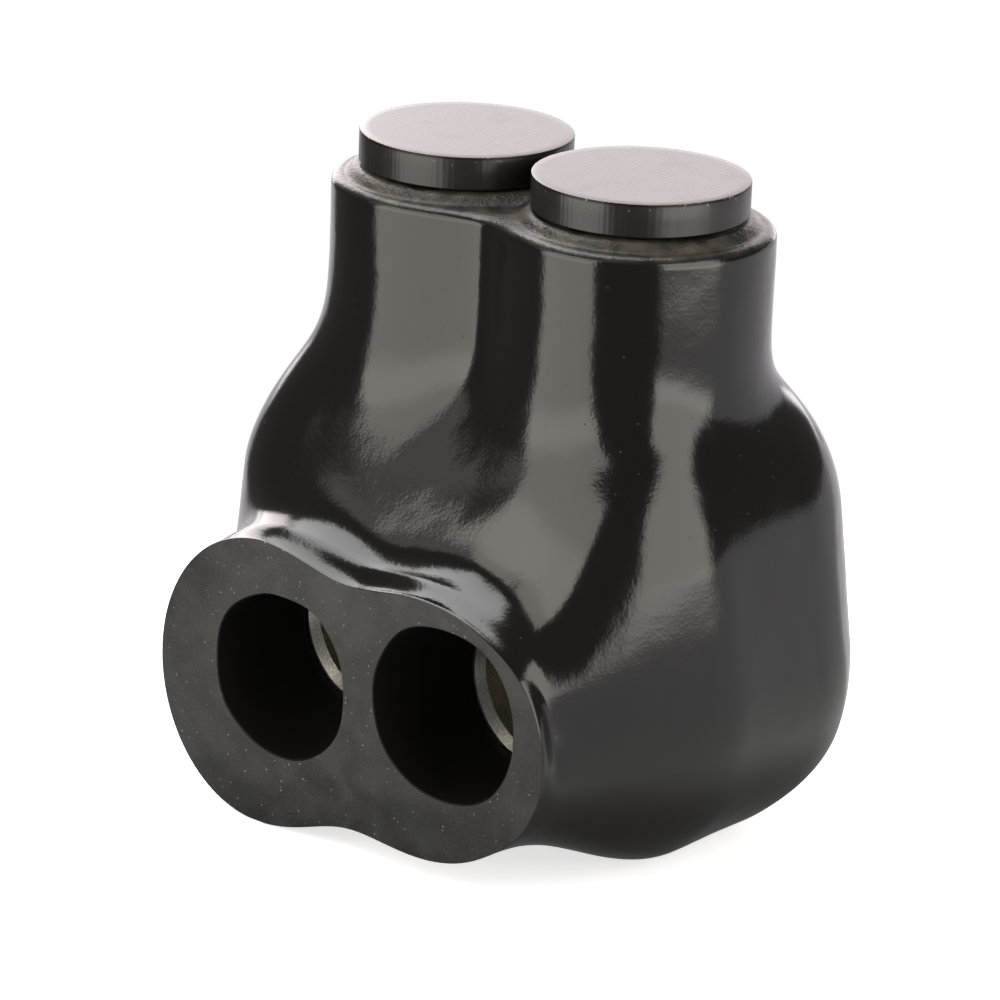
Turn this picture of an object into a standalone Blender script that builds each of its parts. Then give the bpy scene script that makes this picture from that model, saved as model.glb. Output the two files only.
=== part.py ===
"""Insulated two-port cable connector.

An aluminium block with two blind cable bores and two threaded clamp-screw holes, dipped in a
thick black vinyl jacket. The jacket has one soft two-lobed sleeve on the front, where both cables
enter, and a pair of joined necks on top, through which the screws are driven. A plug cap closes
each neck.

Frame: X runs along the row of ports, -Y is the port face, +Z is up. The origin lies in the flat
underside, midway between the ports, below the axes of the clamp screws. Units are metres.
"""

import math

import bmesh
import bpy
import numpy as np
from mathutils import Matrix, Vector

MM = 0.001

# Ports and screws
PORT_PITCH = 25.4 * MM
PORT_HEIGHT = 19.2 * MM
BORE_RADIUS = 8.5 * MM
BORE_CHAMFER = 0.9 * MM
BORE_END_WALL = 4.0 * MM
CLEARANCE = 0.3 * MM

# Aluminium block
BLOCK_SIDE_WALL = 5.0 * MM
BLOCK_FRONT = 14.0 * MM
BLOCK_BACK = 14.5 * MM
BLOCK_FLOOR = 6.6 * MM
BLOCK_TOP = 44.6 * MM
BLOCK_EDGE_RADIUS = 4.2 * MM

# Clamp screws
SCREW_RADIUS = 7.94 * MM
SCREW_LENGTH = 19.0 * MM
SCREW_CHAMFER = 1.1 * MM
SCREW_START_GAP = 0.6 * MM
HEX_ACROSS_FLATS = 7.94 * MM
HEX_DEPTH = 9.5 * MM
HEX_LEAD = 0.5 * MM

# Caps
CAP_TOP = 75.4 * MM
CAP_RADIUS = 12.1 * MM
CAP_THICKNESS = 3.8 * MM
CAP_EDGE = 0.15 * MM
STEM_LENGTH = 9.0 * MM
STEM_LEAD = 1.0 * MM

# Necks of the jacket
NECK_RADIUS = 15.1 * MM
NECK_BORE_RADIUS = 10.0 * MM
NECK_GROOVE_BLEND = 14.1 * MM
RIM_DROP = 1.1 * MM
RIM_ROUND = 1.2 * MM
LIP_RADIUS = 12.9 * MM

# Body of the jacket
BODY_WIDTH = 70.0 * MM
BODY_FRONT = 23.7 * MM
BODY_BACK = 23.2 * MM
BODY_TOP = 53.9 * MM
CORNER_RADIUS = 16.6 * MM
SHOULDER_RADIUS = 16.1 * MM
BOTTOM_RADIUS = 22.8 * MM
SHOULDER_BLEND = 8.9 * MM
SIDE_FLARE = 0.13
UNDERSIDE_TRIM = 0.4 * MM

# Front of the body: below the necks the vinyl has sagged into a lower and softer shoulder
FRONT_START = 1.0 * MM
FRONT_END = 15.0 * MM
FRONT_CORNER_RADIUS = 19.0 * MM
CORNER_CHANGE_TOP = 44.0 * MM
CORNER_CHANGE_FOOT = 14.0 * MM
SHOULDER_CHANGE = 10.0 * MM
FRONT_SHOULDER_RADIUS = 18.2 * MM
FRONT_SHOULDER_BLEND = 15.7 * MM
SAG_DEPTH = 5.1 * MM
SAG_START = -6.9 * MM
SAG_END = 11.1 * MM
SAG_HALF_WIDTH = 16.4 * MM
SAG_SIDE = 34.7 * MM

# Sleeve of the jacket: the two lobes were trimmed by hand and differ a little
SLEEVE_FACE = 30.5 * MM
LOBE_LEFT = (-15.0 * MM, 16.6 * MM)
LOBE_LEFT_RADII = (14.4 * MM, 16.4 * MM)
LOBE_RIGHT = (11.5 * MM, 17.8 * MM)
LOBE_RIGHT_RADII = (14.7 * MM, 14.5 * MM)
SLEEVE_WAIST_BLEND = 27.0 * MM
SLEEVE_ROOT_BLEND = 14.4 * MM
LEFT_ROOT_BLEND = 7.0 * MM
RIGHT_ROOT_BLEND = 21.0 * MM
LEFT_ROOT = (16.0 * MM, 28.0 * MM)
RIGHT_ROOT = (14.0 * MM, 28.0 * MM)
MOUTH_LEFT = (-11.0 * MM, 18.2 * MM)
MOUTH_LEFT_RADII = (9.6 * MM, 9.4 * MM)
MOUTH_RIGHT = (13.1 * MM, 20.3 * MM)
MOUTH_RIGHT_RADII = (10.1 * MM, 9.8 * MM)
SLEEVE_BORE_RADIUS = 9.8 * MM

# Mesh fineness
SKIN_LEVELS = 2
PROJECTION_STEPS = 6
EVENING_ROUNDS = 6
CAGE_GROWTH = 1.1
ROUND_SEGMENTS = 40

SIDES = {"left": -1, "right": 1}
RIM_HEIGHT = CAP_TOP - CAP_THICKNESS - CLEARANCE - RIM_DROP
BORE_TOP = PORT_HEIGHT + BORE_RADIUS
SCREW_BASE = BORE_TOP + SCREW_START_GAP
SCREW_HOLE_RADIUS = SCREW_RADIUS + CLEARANCE
STEM_RADIUS = NECK_BORE_RADIUS - CLEARANCE
BLOCK_HALF_WIDTH = PORT_PITCH / 2 + BORE_RADIUS + BLOCK_SIDE_WALL
BODY_HALF_HEIGHT = (BODY_TOP + UNDERSIDE_TRIM) / 2
BODY_MIDDLE = BODY_TOP - BODY_HALF_HEIGHT


def rounded_union(a, b, reach):
    """Distance to both forms together, with the inside corner filled over the given reach."""
    overlap = np.maximum(reach - np.abs(a - b), 0.0) / reach
    return np.minimum(a, b) - overlap ** 3 * reach / 6


def rounded_overlap(a, b, radius):
    """Distance to what two forms share, with the outside corner turned to a round edge."""
    outer_a = a + radius
    outer_b = b + radius
    corner = np.hypot(np.maximum(outer_a, 0.0), np.maximum(outer_b, 0.0))
    return corner + np.minimum(np.maximum(outer_a, outer_b), 0.0) - radius


def ramp(place, start, end):
    """Goes softly from 0 at the start to 1 at the end."""
    share = np.clip((place - start) / (end - start), 0.0, 1.0)
    return share ** 2 * (3 - 2 * share)


def front_share(y):
    """How far a place belongs to the front of the body: 0 behind the screws' axes, then 1."""
    return ramp(-y, FRONT_START, FRONT_END)


def neck_distance(x, y, z):
    """Distance to the joined pair of necks, whose top is flat with a rolled edge."""
    left = np.hypot(x + PORT_PITCH / 2, y) - NECK_RADIUS
    right = np.hypot(x - PORT_PITCH / 2, y) - NECK_RADIUS
    wall = rounded_union(left, right, NECK_GROOVE_BLEND)
    top = rounded_overlap(wall, z - RIM_HEIGHT, RIM_ROUND)
    return np.maximum(top, BODY_MIDDLE - z)


def body_distance(x, y, z):
    """Distance to the body: a soft block, wider at its foot, with large round edges.

    Its front corners grow rounder downwards, and its front shoulder sags below the necks.
    """
    height = (BODY_MIDDLE - z) / BODY_HALF_HEIGHT
    depth = (BODY_FRONT + BODY_BACK) / 2
    from_centre = y - (BODY_BACK - BODY_FRONT) / 2
    front = front_share(y)
    low = front * ramp(-z, -CORNER_CHANGE_TOP, -CORNER_CHANGE_FOOT)
    corner = CORNER_RADIUS + (FRONT_CORNER_RADIUS - CORNER_RADIUS) * low
    side = np.abs(x / (1 + SIDE_FLARE * height)) - (BODY_WIDTH / 2 - corner)
    end = np.abs(from_centre) - (depth - corner)
    plan = np.hypot(np.maximum(side, 0.0), np.maximum(end, 0.0))
    plan = plan + np.minimum(np.maximum(side, end), 0.0) - corner
    above = z - BODY_MIDDLE
    softer = front * ramp(above, 0.0, SHOULDER_CHANGE)
    shoulder = SHOULDER_RADIUS + (FRONT_SHOULDER_RADIUS - SHOULDER_RADIUS) * softer
    sag = SAG_DEPTH * ramp(-y, SAG_START, SAG_END) * (1 - ramp(np.abs(x), SAG_HALF_WIDTH, SAG_SIDE))
    rise = np.where(above > 0.0, above + sag, -above) - BODY_HALF_HEIGHT
    return rounded_overlap(plan, rise, np.where(above > 0.0, shoulder, BOTTOM_RADIUS))


def lobe_distance(x, z, centre, radii):
    """Distance to one lobe of the sleeve, an oval tube along Y."""
    across = x - centre[0]
    up = z - centre[1]
    size = np.hypot(across / radii[0], up / radii[1])
    slope = np.hypot(across / radii[0] ** 2, up / radii[1] ** 2) + 1e-9
    return np.where(size > 1e-6, size * (size - 1) / slope, -min(radii))


def skin_distance(points):
    """Distance of each point to the outer skin that the dip left, negative inside."""
    x, y, z = points[:, 0], points[:, 1], points[:, 2]
    left = lobe_distance(x, z, LOBE_LEFT, LOBE_LEFT_RADII)
    right = lobe_distance(x, z, LOBE_RIGHT, LOBE_RIGHT_RADII)
    sleeve = np.maximum(rounded_union(left, right, SLEEVE_WAIST_BLEND), y)
    blend = SHOULDER_BLEND + (FRONT_SHOULDER_BLEND - SHOULDER_BLEND) * front_share(y)
    body = rounded_union(neck_distance(x, y, z), body_distance(x, y, z), blend)
    root = SLEEVE_ROOT_BLEND + (LEFT_ROOT_BLEND - SLEEVE_ROOT_BLEND) * ramp(-x, *LEFT_ROOT)
    root = root + (RIGHT_ROOT_BLEND - SLEEVE_ROOT_BLEND) * ramp(x, *RIGHT_ROOT)
    return rounded_union(body, sleeve, root)


def skin_slope(points, step=1e-5):
    """Gradient of the skin distance at each point."""
    axes = np.eye(3) * step
    slopes = [skin_distance(points + axis) - skin_distance(points - axis) for axis in axes]
    return np.stack(slopes, axis=1) / (2 * step)


def settle(verts, held):
    """Moves vertices onto the skin, each only along the axes in which it is not held."""
    points = np.array([vert.co for vert in verts])
    for _ in range(PROJECTION_STEPS):
        slope = np.where(held, 0.0, skin_slope(points))
        length = np.maximum((slope ** 2).sum(axis=1), 1e-3)
        points -= slope * (skin_distance(points) / length)[:, None]
    for vert, point in zip(verts, points):
        vert.co = point


def draw_to_skin(form):
    """Moves the whole form onto the skin, evening out the spacing as it goes.

    The sleeve's end stays in its own plane.
    """
    verts = list(form.verts)
    on_face = [vert.co.y < -SLEEVE_FACE + 1e-6 for vert in verts]
    held = np.array([(False, fixed, False) for fixed in on_face])
    free = [vert for vert, fixed in zip(verts, on_face) if not fixed]
    settle(verts, held)
    for _ in range(EVENING_ROUNDS):
        bmesh.ops.smooth_vert(form, verts=free, factor=0.5, use_axis_x=True, use_axis_y=True,
                              use_axis_z=True)
        settle(verts, held)


def trim_underside(form):
    """Trims the rounded underside to a flat at the origin's height, with a true outline."""
    geometry = form.verts[:] + form.edges[:] + form.faces[:]
    bmesh.ops.bisect_plane(form, geom=geometry, dist=1e-7, plane_co=(0.0, 0.0, 0.0),
                           plane_no=(0.0, 0.0, -1.0), clear_outer=True)
    border = [edge for edge in form.edges if edge.is_boundary]
    verts = list({vert for edge in border for vert in edge.verts})
    settle(verts, np.array([(False, False, True)] * len(verts)))
    bmesh.ops.holes_fill(form, edges=border)


def slice_at(form, axis, places):
    """Adds loops across the form at the given places on one axis."""
    normal = Vector((0.0, 0.0, 0.0))
    normal[axis] = 1.0
    for place in places:
        geometry = form.verts[:] + form.edges[:] + form.faces[:]
        bmesh.ops.bisect_plane(form, geom=geometry, dist=1e-7, plane_co=normal * place, plane_no=normal)


def draw_out(form, faces, offset):
    """Extrudes a patch of faces by an offset and returns the patch at its new place."""
    moved = bmesh.ops.extrude_face_region(form, geom=faces)["geom"]
    vertices = [part for part in moved if isinstance(part, bmesh.types.BMVert)]
    bmesh.ops.translate(form, verts=vertices, vec=offset)
    bmesh.ops.delete(form, geom=faces, context="FACES_KEEP_BOUNDARY")
    return [part for part in moved if isinstance(part, bmesh.types.BMFace)]


def spread(faces, axis, left, right, radii, blend):
    """Rounds a patch's border out to a two-lobed outline, a little wider than the finished one.

    The lobes' centres are (x, place on the other axis), and the radii are along x and that axis.
    Midway between the lobes the border is drawn in to the waist that the blend leaves.
    """
    border = set()
    for face in faces:
        for edge in face.edges:
            if any(other not in faces for other in edge.link_faces):
                border.update(edge.verts)
    radius = (radii[0] + radii[1]) / 2
    half_span = (right[0] - left[0]) / 2
    waist = math.sqrt((radius + blend / 6) ** 2 - half_span ** 2) / radius
    for vert in border:
        share = min(max((vert.co.x - left[0]) / (right[0] - left[0]), 0.0), 1.0)
        centre_x = left[0] + share * (right[0] - left[0])
        centre_other = left[1] + share * (right[1] - left[1])
        across = (vert.co.x - centre_x) / radii[0]
        along = (vert.co[axis] - centre_other) / radii[1]
        drawn_in = 1 - (1 - waist) * (1 - abs(2 * share - 1))
        size = math.hypot(across, along) / (CAGE_GROWTH * drawn_in)
        vert.co.x = centre_x + across / size * radii[0]
        vert.co[axis] = centre_other + along / size * radii[1]


def patch(form, direction, x_reach, other_axis, low, high):
    """The faces that look one way and lie inside the given reach."""
    found = []
    for face in form.faces:
        centre = face.calc_center_median()
        inside = abs(centre.x) < x_reach and low < centre[other_axis] < high
        if inside and face.normal.dot(direction) > 0.99:
            found.append(face)
    return found


def jacket_cage():
    """Coarse cage: a block with the neck pair drawn up from it and the sleeve drawn forward."""
    form = bmesh.new()
    depth = BODY_FRONT + BODY_BACK
    middle = Vector((0.0, (BODY_BACK - BODY_FRONT) / 2, BODY_MIDDLE))
    size = Matrix.Diagonal((BODY_WIDTH, depth, 2 * BODY_HALF_HEIGHT, 1.0))
    bmesh.ops.create_cube(form, size=1.0, matrix=Matrix.Translation(middle) @ size)
    column = PORT_PITCH / 2
    reach = column + NECK_RADIUS * 0.75
    lobe_low = PORT_HEIGHT - BORE_RADIUS * 1.6
    lobe_high = PORT_HEIGHT + BORE_RADIUS * 1.4
    slice_at(form, 0, (-reach, -column, 0.0, column, reach))
    slice_at(form, 1, (-NECK_RADIUS * 0.85, 0.0, NECK_RADIUS * 0.85))
    slice_at(form, 2, (lobe_low, PORT_HEIGHT, lobe_high, (lobe_high + BODY_TOP) / 2))
    form.normal_update()

    up = Vector((0.0, 0.0, 1.0))
    half_depth = NECK_RADIUS * 0.85
    necks = patch(form, up, reach, 1, -half_depth, half_depth)
    wall_height = RIM_HEIGHT - BODY_TOP
    axes = ((-column, 0.0), (column, 0.0))
    for share in (0.25, 0.35, 0.28, 0.12):
        necks = draw_out(form, necks, up * wall_height * share)
        spread(necks, 1, *axes, (NECK_RADIUS, NECK_RADIUS), NECK_GROOVE_BLEND)
    bmesh.ops.inset_region(form, faces=necks, thickness=2 * RIM_ROUND, use_even_offset=True)

    form.normal_update()
    forward = Vector((0.0, -1.0, 0.0))
    sleeve = patch(form, forward, reach, 2, lobe_low, lobe_high)
    overhang = SLEEVE_FACE - BODY_FRONT
    radii = [(a + b) / 2 for a, b in zip(LOBE_LEFT_RADII, LOBE_RIGHT_RADII)]
    for share in (0.5, 0.5):
        sleeve = draw_out(form, sleeve, forward * overhang * share)
        spread(sleeve, 2, LOBE_LEFT, LOBE_RIGHT, radii, SLEEVE_WAIST_BLEND)
    crease = form.edges.layers.float.new("crease_edge")
    for face in sleeve:
        for edge in face.edges:
            if any(other not in sleeve for other in edge.link_faces):
                edge[crease] = 1.0
    bmesh.ops.recalc_face_normals(form, faces=form.faces[:])
    return form


def collection_of(name):
    """A new collection in the scene."""
    group = bpy.data.collections.new(name)
    bpy.context.scene.collection.children.link(group)
    return group


def finish_material(name, colour, roughness, metallic=0.0):
    """A plain Principled finish."""
    material = bpy.data.materials.new(name)
    material.use_nodes = True
    shader = material.node_tree.nodes["Principled BSDF"]
    shader.inputs["Base Color"].default_value = (*colour, 1.0)
    shader.inputs["Roughness"].default_value = roughness
    shader.inputs["Metallic"].default_value = metallic
    return material


def add_object(name, mesh, group, material=None, parent=None, location=(0.0, 0.0, 0.0)):
    """Puts a mesh in the scene as a named object, smooth with sharp edges kept."""
    piece = bpy.data.objects.new(name, mesh)
    group.objects.link(piece)
    piece.location = location
    piece.parent = parent
    if material:
        mesh.materials.append(material)
    if mesh.polygons:
        mesh.shade_smooth()
        mesh.set_sharp_from_angle(angle=math.radians(35))
    return piece


def form_object(name, form, group, **options):
    """Turns a bmesh into a named object."""
    mesh = bpy.data.meshes.new(name)
    form.to_mesh(mesh)
    form.free()
    return add_object(name, mesh, group, **options)


def as_cutter(piece):
    """Marks an object as a tool shape that is not part of the product."""
    piece.hide_render = True
    piece.display_type = "WIRE"
    return piece


def combine(piece, tool, operation="DIFFERENCE"):
    """Adds an exact Boolean to a piece."""
    step = piece.modifiers.new(tool.name, "BOOLEAN")
    step.operation = operation
    step.solver = "EXACT"
    step.object = tool


def turned(name, profile, group, **options):
    """Turns a profile of (radius, height) points, listed from the top down, around Z."""
    mesh = bpy.data.meshes.new(name)
    points = [(radius, 0.0, height) for radius, height in profile]
    mesh.from_pydata(points, [(i, i + 1) for i in range(len(points) - 1)], [])
    piece = add_object(name, mesh, group, **options)
    spin = piece.modifiers.new("Turn", "SCREW")
    spin.steps = ROUND_SEGMENTS
    spin.render_steps = ROUND_SEGMENTS
    spin.use_merge_vertices = True
    spin.merge_threshold = 1e-6
    spin.use_smooth_shade = True
    return piece


def rounded_block(name, low, high, radius, group, **options):
    """A box between two corners with round edges."""
    form = bmesh.new()
    low = Vector(low)
    high = Vector(high)
    size = Matrix.Diagonal((*(high - low), 1.0))
    bmesh.ops.create_cube(form, size=1.0, matrix=Matrix.Translation((low + high) / 2) @ size)
    piece = form_object(name, form, group, **options)
    edge = piece.modifiers.new("Edges", "BEVEL")
    edge.width = radius
    edge.segments = 3
    return piece


def port_passage(name, mouth, mouth_radii, axis_x, group):
    """Cutter for one cable passage: an oval mouth that eases into the round sleeve bore."""
    upright = Matrix.Rotation(math.radians(90), 4, "X")
    overrun = 2.0 * MM
    ease = 1.5 * MM
    sections = [
        (-SLEEVE_FACE - overrun, mouth, mouth_radii),
        (-SLEEVE_FACE + ease, mouth, mouth_radii),
        (-BLOCK_FRONT + CLEARANCE, (axis_x, PORT_HEIGHT), (SLEEVE_BORE_RADIUS, SLEEVE_BORE_RADIUS)),
    ]
    form = bmesh.new()
    loops = []
    for number, (y, centre, radii) in enumerate(sections):
        place = Matrix.Translation((centre[0], y, centre[1]))
        stretch = Matrix.Diagonal((radii[0], 1.0, radii[1], 1.0))
        ends = number in (0, len(sections) - 1)
        ring = bmesh.ops.create_circle(form, cap_ends=ends, segments=ROUND_SEGMENTS, radius=1.0,
                                       matrix=place @ stretch @ upright)["verts"]
        loops.append([edge for edge in form.edges if all(vert in ring for vert in edge.verts)])
    for first, second in zip(loops, loops[1:]):
        bmesh.ops.bridge_loops(form, edges=first + second)
    bmesh.ops.recalc_face_normals(form, faces=form.faces[:])
    return as_cutter(form_object(name, form, group))


def jacket_skin(group):
    """The solid outer form of the jacket, with its flat underside."""
    coarse = form_object("jacket_cage", jacket_cage(), group)
    rounding = coarse.modifiers.new("Rounding", "SUBSURF")
    rounding.levels = SKIN_LEVELS
    rounding.render_levels = SKIN_LEVELS
    evaluated = coarse.evaluated_get(bpy.context.evaluated_depsgraph_get())
    mesh = bpy.data.meshes.new_from_object(evaluated)
    bpy.data.objects.remove(coarse)
    form = bmesh.new()
    form.from_mesh(mesh)
    bpy.data.meshes.remove(mesh)
    draw_to_skin(form)
    face = [side for side in form.faces if all(v.co.y < -SLEEVE_FACE + 1e-6 for v in side.verts)]
    bmesh.ops.dissolve_faces(form, faces=face, use_verts=True)
    top = [side for side in form.faces if all(v.co.z > RIM_HEIGHT - 1e-6 for v in side.verts)]
    bmesh.ops.dissolve_faces(form, faces=top, use_verts=True)
    trim_underside(form)
    bmesh.ops.recalc_face_normals(form, faces=form.faces[:])
    return form


def build_jacket(parts, tools, material, parent):
    """The vinyl jacket: the dipped skin with its lips, neck bores, block pocket and passages."""
    jacket = form_object("insulation_jacket", jacket_skin(tools), parts, material=material,
                         parent=parent)
    pocket_low = (-BLOCK_HALF_WIDTH - CLEARANCE, -BLOCK_FRONT - CLEARANCE, BLOCK_FLOOR - CLEARANCE)
    pocket_high = (BLOCK_HALF_WIDTH + CLEARANCE, BLOCK_BACK + CLEARANCE, BLOCK_TOP + CLEARANCE)
    for side, sign in SIDES.items():
        axis_x = sign * PORT_PITCH / 2
        lip_top = RIM_HEIGHT + RIM_DROP
        lip = turned(f"lip_{side}_form", [(0.0, lip_top), (LIP_RADIUS - RIM_DROP / 2, lip_top),
                                          (LIP_RADIUS, lip_top - RIM_DROP / 2),
                                          (LIP_RADIUS, RIM_HEIGHT - RIM_DROP),
                                          (0.0, RIM_HEIGHT - RIM_DROP)],
                     tools, location=(axis_x, 0.0, 0.0))
        lip.rotation_euler.z = math.pi / ROUND_SEGMENTS
        combine(jacket, as_cutter(lip), "UNION")
    pocket = rounded_block("block_pocket", pocket_low, pocket_high,
                           BLOCK_EDGE_RADIUS + CLEARANCE, tools)
    combine(jacket, as_cutter(pocket))
    mouths = {"left": (MOUTH_LEFT, MOUTH_LEFT_RADII), "right": (MOUTH_RIGHT, MOUTH_RIGHT_RADII)}
    for side, sign in SIDES.items():
        axis_x = sign * PORT_PITCH / 2
        bore = turned(f"neck_bore_{side}", [(0.0, CAP_TOP), (NECK_BORE_RADIUS, CAP_TOP),
                                            (NECK_BORE_RADIUS, BLOCK_TOP - CLEARANCE),
                                            (0.0, BLOCK_TOP - CLEARANCE)],
                      tools, location=(axis_x, 0.0, 0.0))
        combine(jacket, as_cutter(bore))
        combine(jacket, port_passage(f"passage_{side}", *mouths[side], axis_x, tools))
    return jacket


def build_block(parts, tools, material, parent):
    """The aluminium block with its blind cable bores and clamp-screw holes."""
    low = (-BLOCK_HALF_WIDTH, -BLOCK_FRONT, BLOCK_FLOOR)
    high = (BLOCK_HALF_WIDTH, BLOCK_BACK, BLOCK_TOP)
    block = rounded_block("connector_block", low, high, BLOCK_EDGE_RADIUS, parts,
                          material=material, parent=parent)
    overrun = 1.0 * MM
    bore_depth = BLOCK_FRONT + BLOCK_BACK - BORE_END_WALL
    mouth_radius = BORE_RADIUS + BORE_CHAMFER + overrun
    for side, sign in SIDES.items():
        axis_x = sign * PORT_PITCH / 2
        bore = turned(f"cable_bore_{side}", [(0.0, overrun), (mouth_radius, overrun),
                                             (BORE_RADIUS, -BORE_CHAMFER),
                                             (BORE_RADIUS, -bore_depth), (0.0, -bore_depth)],
                      tools, location=(axis_x, -BLOCK_FRONT, PORT_HEIGHT))
        bore.rotation_euler = (math.radians(90), 0.0, 0.0)
        combine(block, as_cutter(bore))
        hole_mouth = SCREW_HOLE_RADIUS + BORE_CHAMFER + overrun
        hole = turned(f"screw_hole_{side}", [(0.0, BLOCK_TOP + overrun),
                                             (hole_mouth, BLOCK_TOP + overrun),
                                             (SCREW_HOLE_RADIUS, BLOCK_TOP - BORE_CHAMFER),
                                             (SCREW_HOLE_RADIUS, PORT_HEIGHT), (0.0, PORT_HEIGHT)],
                      tools, location=(axis_x, 0.0, 0.0))
        combine(block, as_cutter(hole))
    return block


def build_screw(side, sign, parts, tools, material, parent):
    """One headless clamp screw, backed out so that its port is open."""
    location = (sign * PORT_PITCH / 2, 0.0, SCREW_BASE)
    root = SCREW_RADIUS - SCREW_CHAMFER
    screw = turned(f"set_screw_{side}", [(0.0, SCREW_LENGTH), (root, SCREW_LENGTH),
                                         (SCREW_RADIUS, SCREW_LENGTH - SCREW_CHAMFER),
                                         (SCREW_RADIUS, SCREW_CHAMFER), (root, 0.0), (0.0, 0.0)],
                   parts, material=material, parent=parent, location=location)
    overrun = 1.0 * MM
    form = bmesh.new()
    corner = HEX_ACROSS_FLATS / math.sqrt(3)
    height = HEX_DEPTH + overrun
    middle = SCREW_LENGTH - HEX_DEPTH + height / 2
    bmesh.ops.create_cone(form, cap_ends=True, segments=6, radius1=corner, radius2=corner,
                          depth=height, matrix=Matrix.Translation((0.0, 0.0, middle)))
    socket = form_object(f"hex_socket_{side}", form, tools, location=location)
    combine(screw, as_cutter(socket))
    lead = turned(f"hex_lead_{side}", [(0.0, SCREW_LENGTH + overrun),
                                       (corner + HEX_LEAD + overrun, SCREW_LENGTH + overrun),
                                       (HEX_ACROSS_FLATS / 2, SCREW_LENGTH + HEX_ACROSS_FLATS / 2
                                        - corner - HEX_LEAD),
                                       (0.0, SCREW_LENGTH - HEX_ACROSS_FLATS / 2)],
                  tools, location=location)
    combine(screw, as_cutter(lead))
    return screw


def build_cap(side, sign, parts, material, parent):
    """One plug cap: a flat disc over the lip, on a stem that fills the neck bore."""
    under = CAP_TOP - CAP_THICKNESS
    stem_end = under - STEM_LENGTH
    profile = [(0.0, CAP_TOP), (CAP_RADIUS - CAP_EDGE, CAP_TOP), (CAP_RADIUS, CAP_TOP - CAP_EDGE),
               (CAP_RADIUS, under + CAP_EDGE), (CAP_RADIUS - CAP_EDGE, under),
               (STEM_RADIUS, under), (STEM_RADIUS, stem_end + STEM_LEAD),
               (STEM_RADIUS - STEM_LEAD, stem_end), (0.0, stem_end)]
    profile = [(radius, height - CAP_TOP) for radius, height in profile]
    location = (sign * PORT_PITCH / 2, 0.0, CAP_TOP)
    return turned(f"cap_{side}", profile, parts, material=material, parent=parent, location=location)


def main():
    """Builds the whole connector."""
    for old in list(bpy.data.objects):
        bpy.data.objects.remove(old, do_unlink=True)
    parts = collection_of("insulated_connector")
    tools = collection_of("cutters")
    frame = bpy.data.objects.new("connector_frame", None)
    parts.objects.link(frame)
    vinyl = finish_material("dipped_vinyl", (0.012, 0.011, 0.011), 0.18)
    aluminium = finish_material("aluminium", (0.62, 0.63, 0.64), 0.35, 1.0)
    cap_rubber = finish_material("cut_rubber", (0.03, 0.03, 0.028), 0.45)
    build_jacket(parts, tools, vinyl, frame)
    build_block(parts, tools, aluminium, frame)
    for side, sign in SIDES.items():
        build_screw(side, sign, parts, tools, aluminium, frame)
        build_cap(side, sign, parts, cap_rubber, frame)


main()
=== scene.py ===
"""Looks of an insulated two-port cable connector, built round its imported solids.

An aluminium block is dipped in a thick black vinyl jacket with a soft two-lobed cable sleeve in
front and a pair of joined necks on top. A plug cap closes each neck, over a clamp screw.

Lengths are in metres. X runs along the row of ports, -Y is the port face and +Z is up.
"""

import logging
import math
from dataclasses import dataclass, field
from enum import Enum
from typing import Callable, Iterable, Optional, Sequence

import bmesh
import bpy
import numpy as np
from mathutils import Matrix, Vector, noise


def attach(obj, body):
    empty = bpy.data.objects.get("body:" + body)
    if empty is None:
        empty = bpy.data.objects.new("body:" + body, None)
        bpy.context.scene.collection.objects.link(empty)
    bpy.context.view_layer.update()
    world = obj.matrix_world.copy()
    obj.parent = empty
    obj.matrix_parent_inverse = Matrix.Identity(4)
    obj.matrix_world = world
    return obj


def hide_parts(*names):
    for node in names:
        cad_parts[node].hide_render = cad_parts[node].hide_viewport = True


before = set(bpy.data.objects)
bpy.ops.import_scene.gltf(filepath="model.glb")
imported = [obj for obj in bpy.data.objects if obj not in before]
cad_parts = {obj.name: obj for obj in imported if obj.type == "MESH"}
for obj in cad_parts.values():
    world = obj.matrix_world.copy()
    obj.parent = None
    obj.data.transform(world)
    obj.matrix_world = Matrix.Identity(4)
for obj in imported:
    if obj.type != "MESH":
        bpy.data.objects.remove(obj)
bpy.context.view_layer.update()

logging.basicConfig(level=logging.INFO, format="%(message)s")
LOG = logging.getLogger("connector")

MM = 0.001
FULL_TURN = 2 * math.pi
QUARTER_TURN = math.pi / 2
HAIR = 1e-6  # two places nearer than this count as one
OVERSHOOT = 1.0 * MM  # how far a cutting tool reaches past what it cuts
METAL_CREASE = 30.0  # degrees past which an edge of the metal is sharp
ORIGIN = (0.0, 0.0, 0.0)
UP = (0.0, 0.0, 1.0)
DOWN = (0.0, 0.0, -1.0)

Plug = bpy.types.NodeSocket
Form = bmesh.types.BMesh
Piece = bpy.types.Object


class Side(Enum):
    """The two ports, by their sign along X."""

    LEFT = -1
    RIGHT = 1

    @property
    def label(self) -> str:
        """The side's word in lower case."""
        return self.name.lower()


class Body(Enum):
    """The rigid bodies that pieces ride on."""

    HOUSING = "housing"
    LEFT_SCREW = "left_screw"
    RIGHT_SCREW = "right_screw"
    LEFT_CAP = "left_cap"
    RIGHT_CAP = "right_cap"


class Slot(Enum):
    """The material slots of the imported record."""

    VINYL = "dipped_vinyl"
    ALUMINIUM = "aluminium"
    CAP = "cap_vinyl"


# ---- Shared sizes ----

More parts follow.
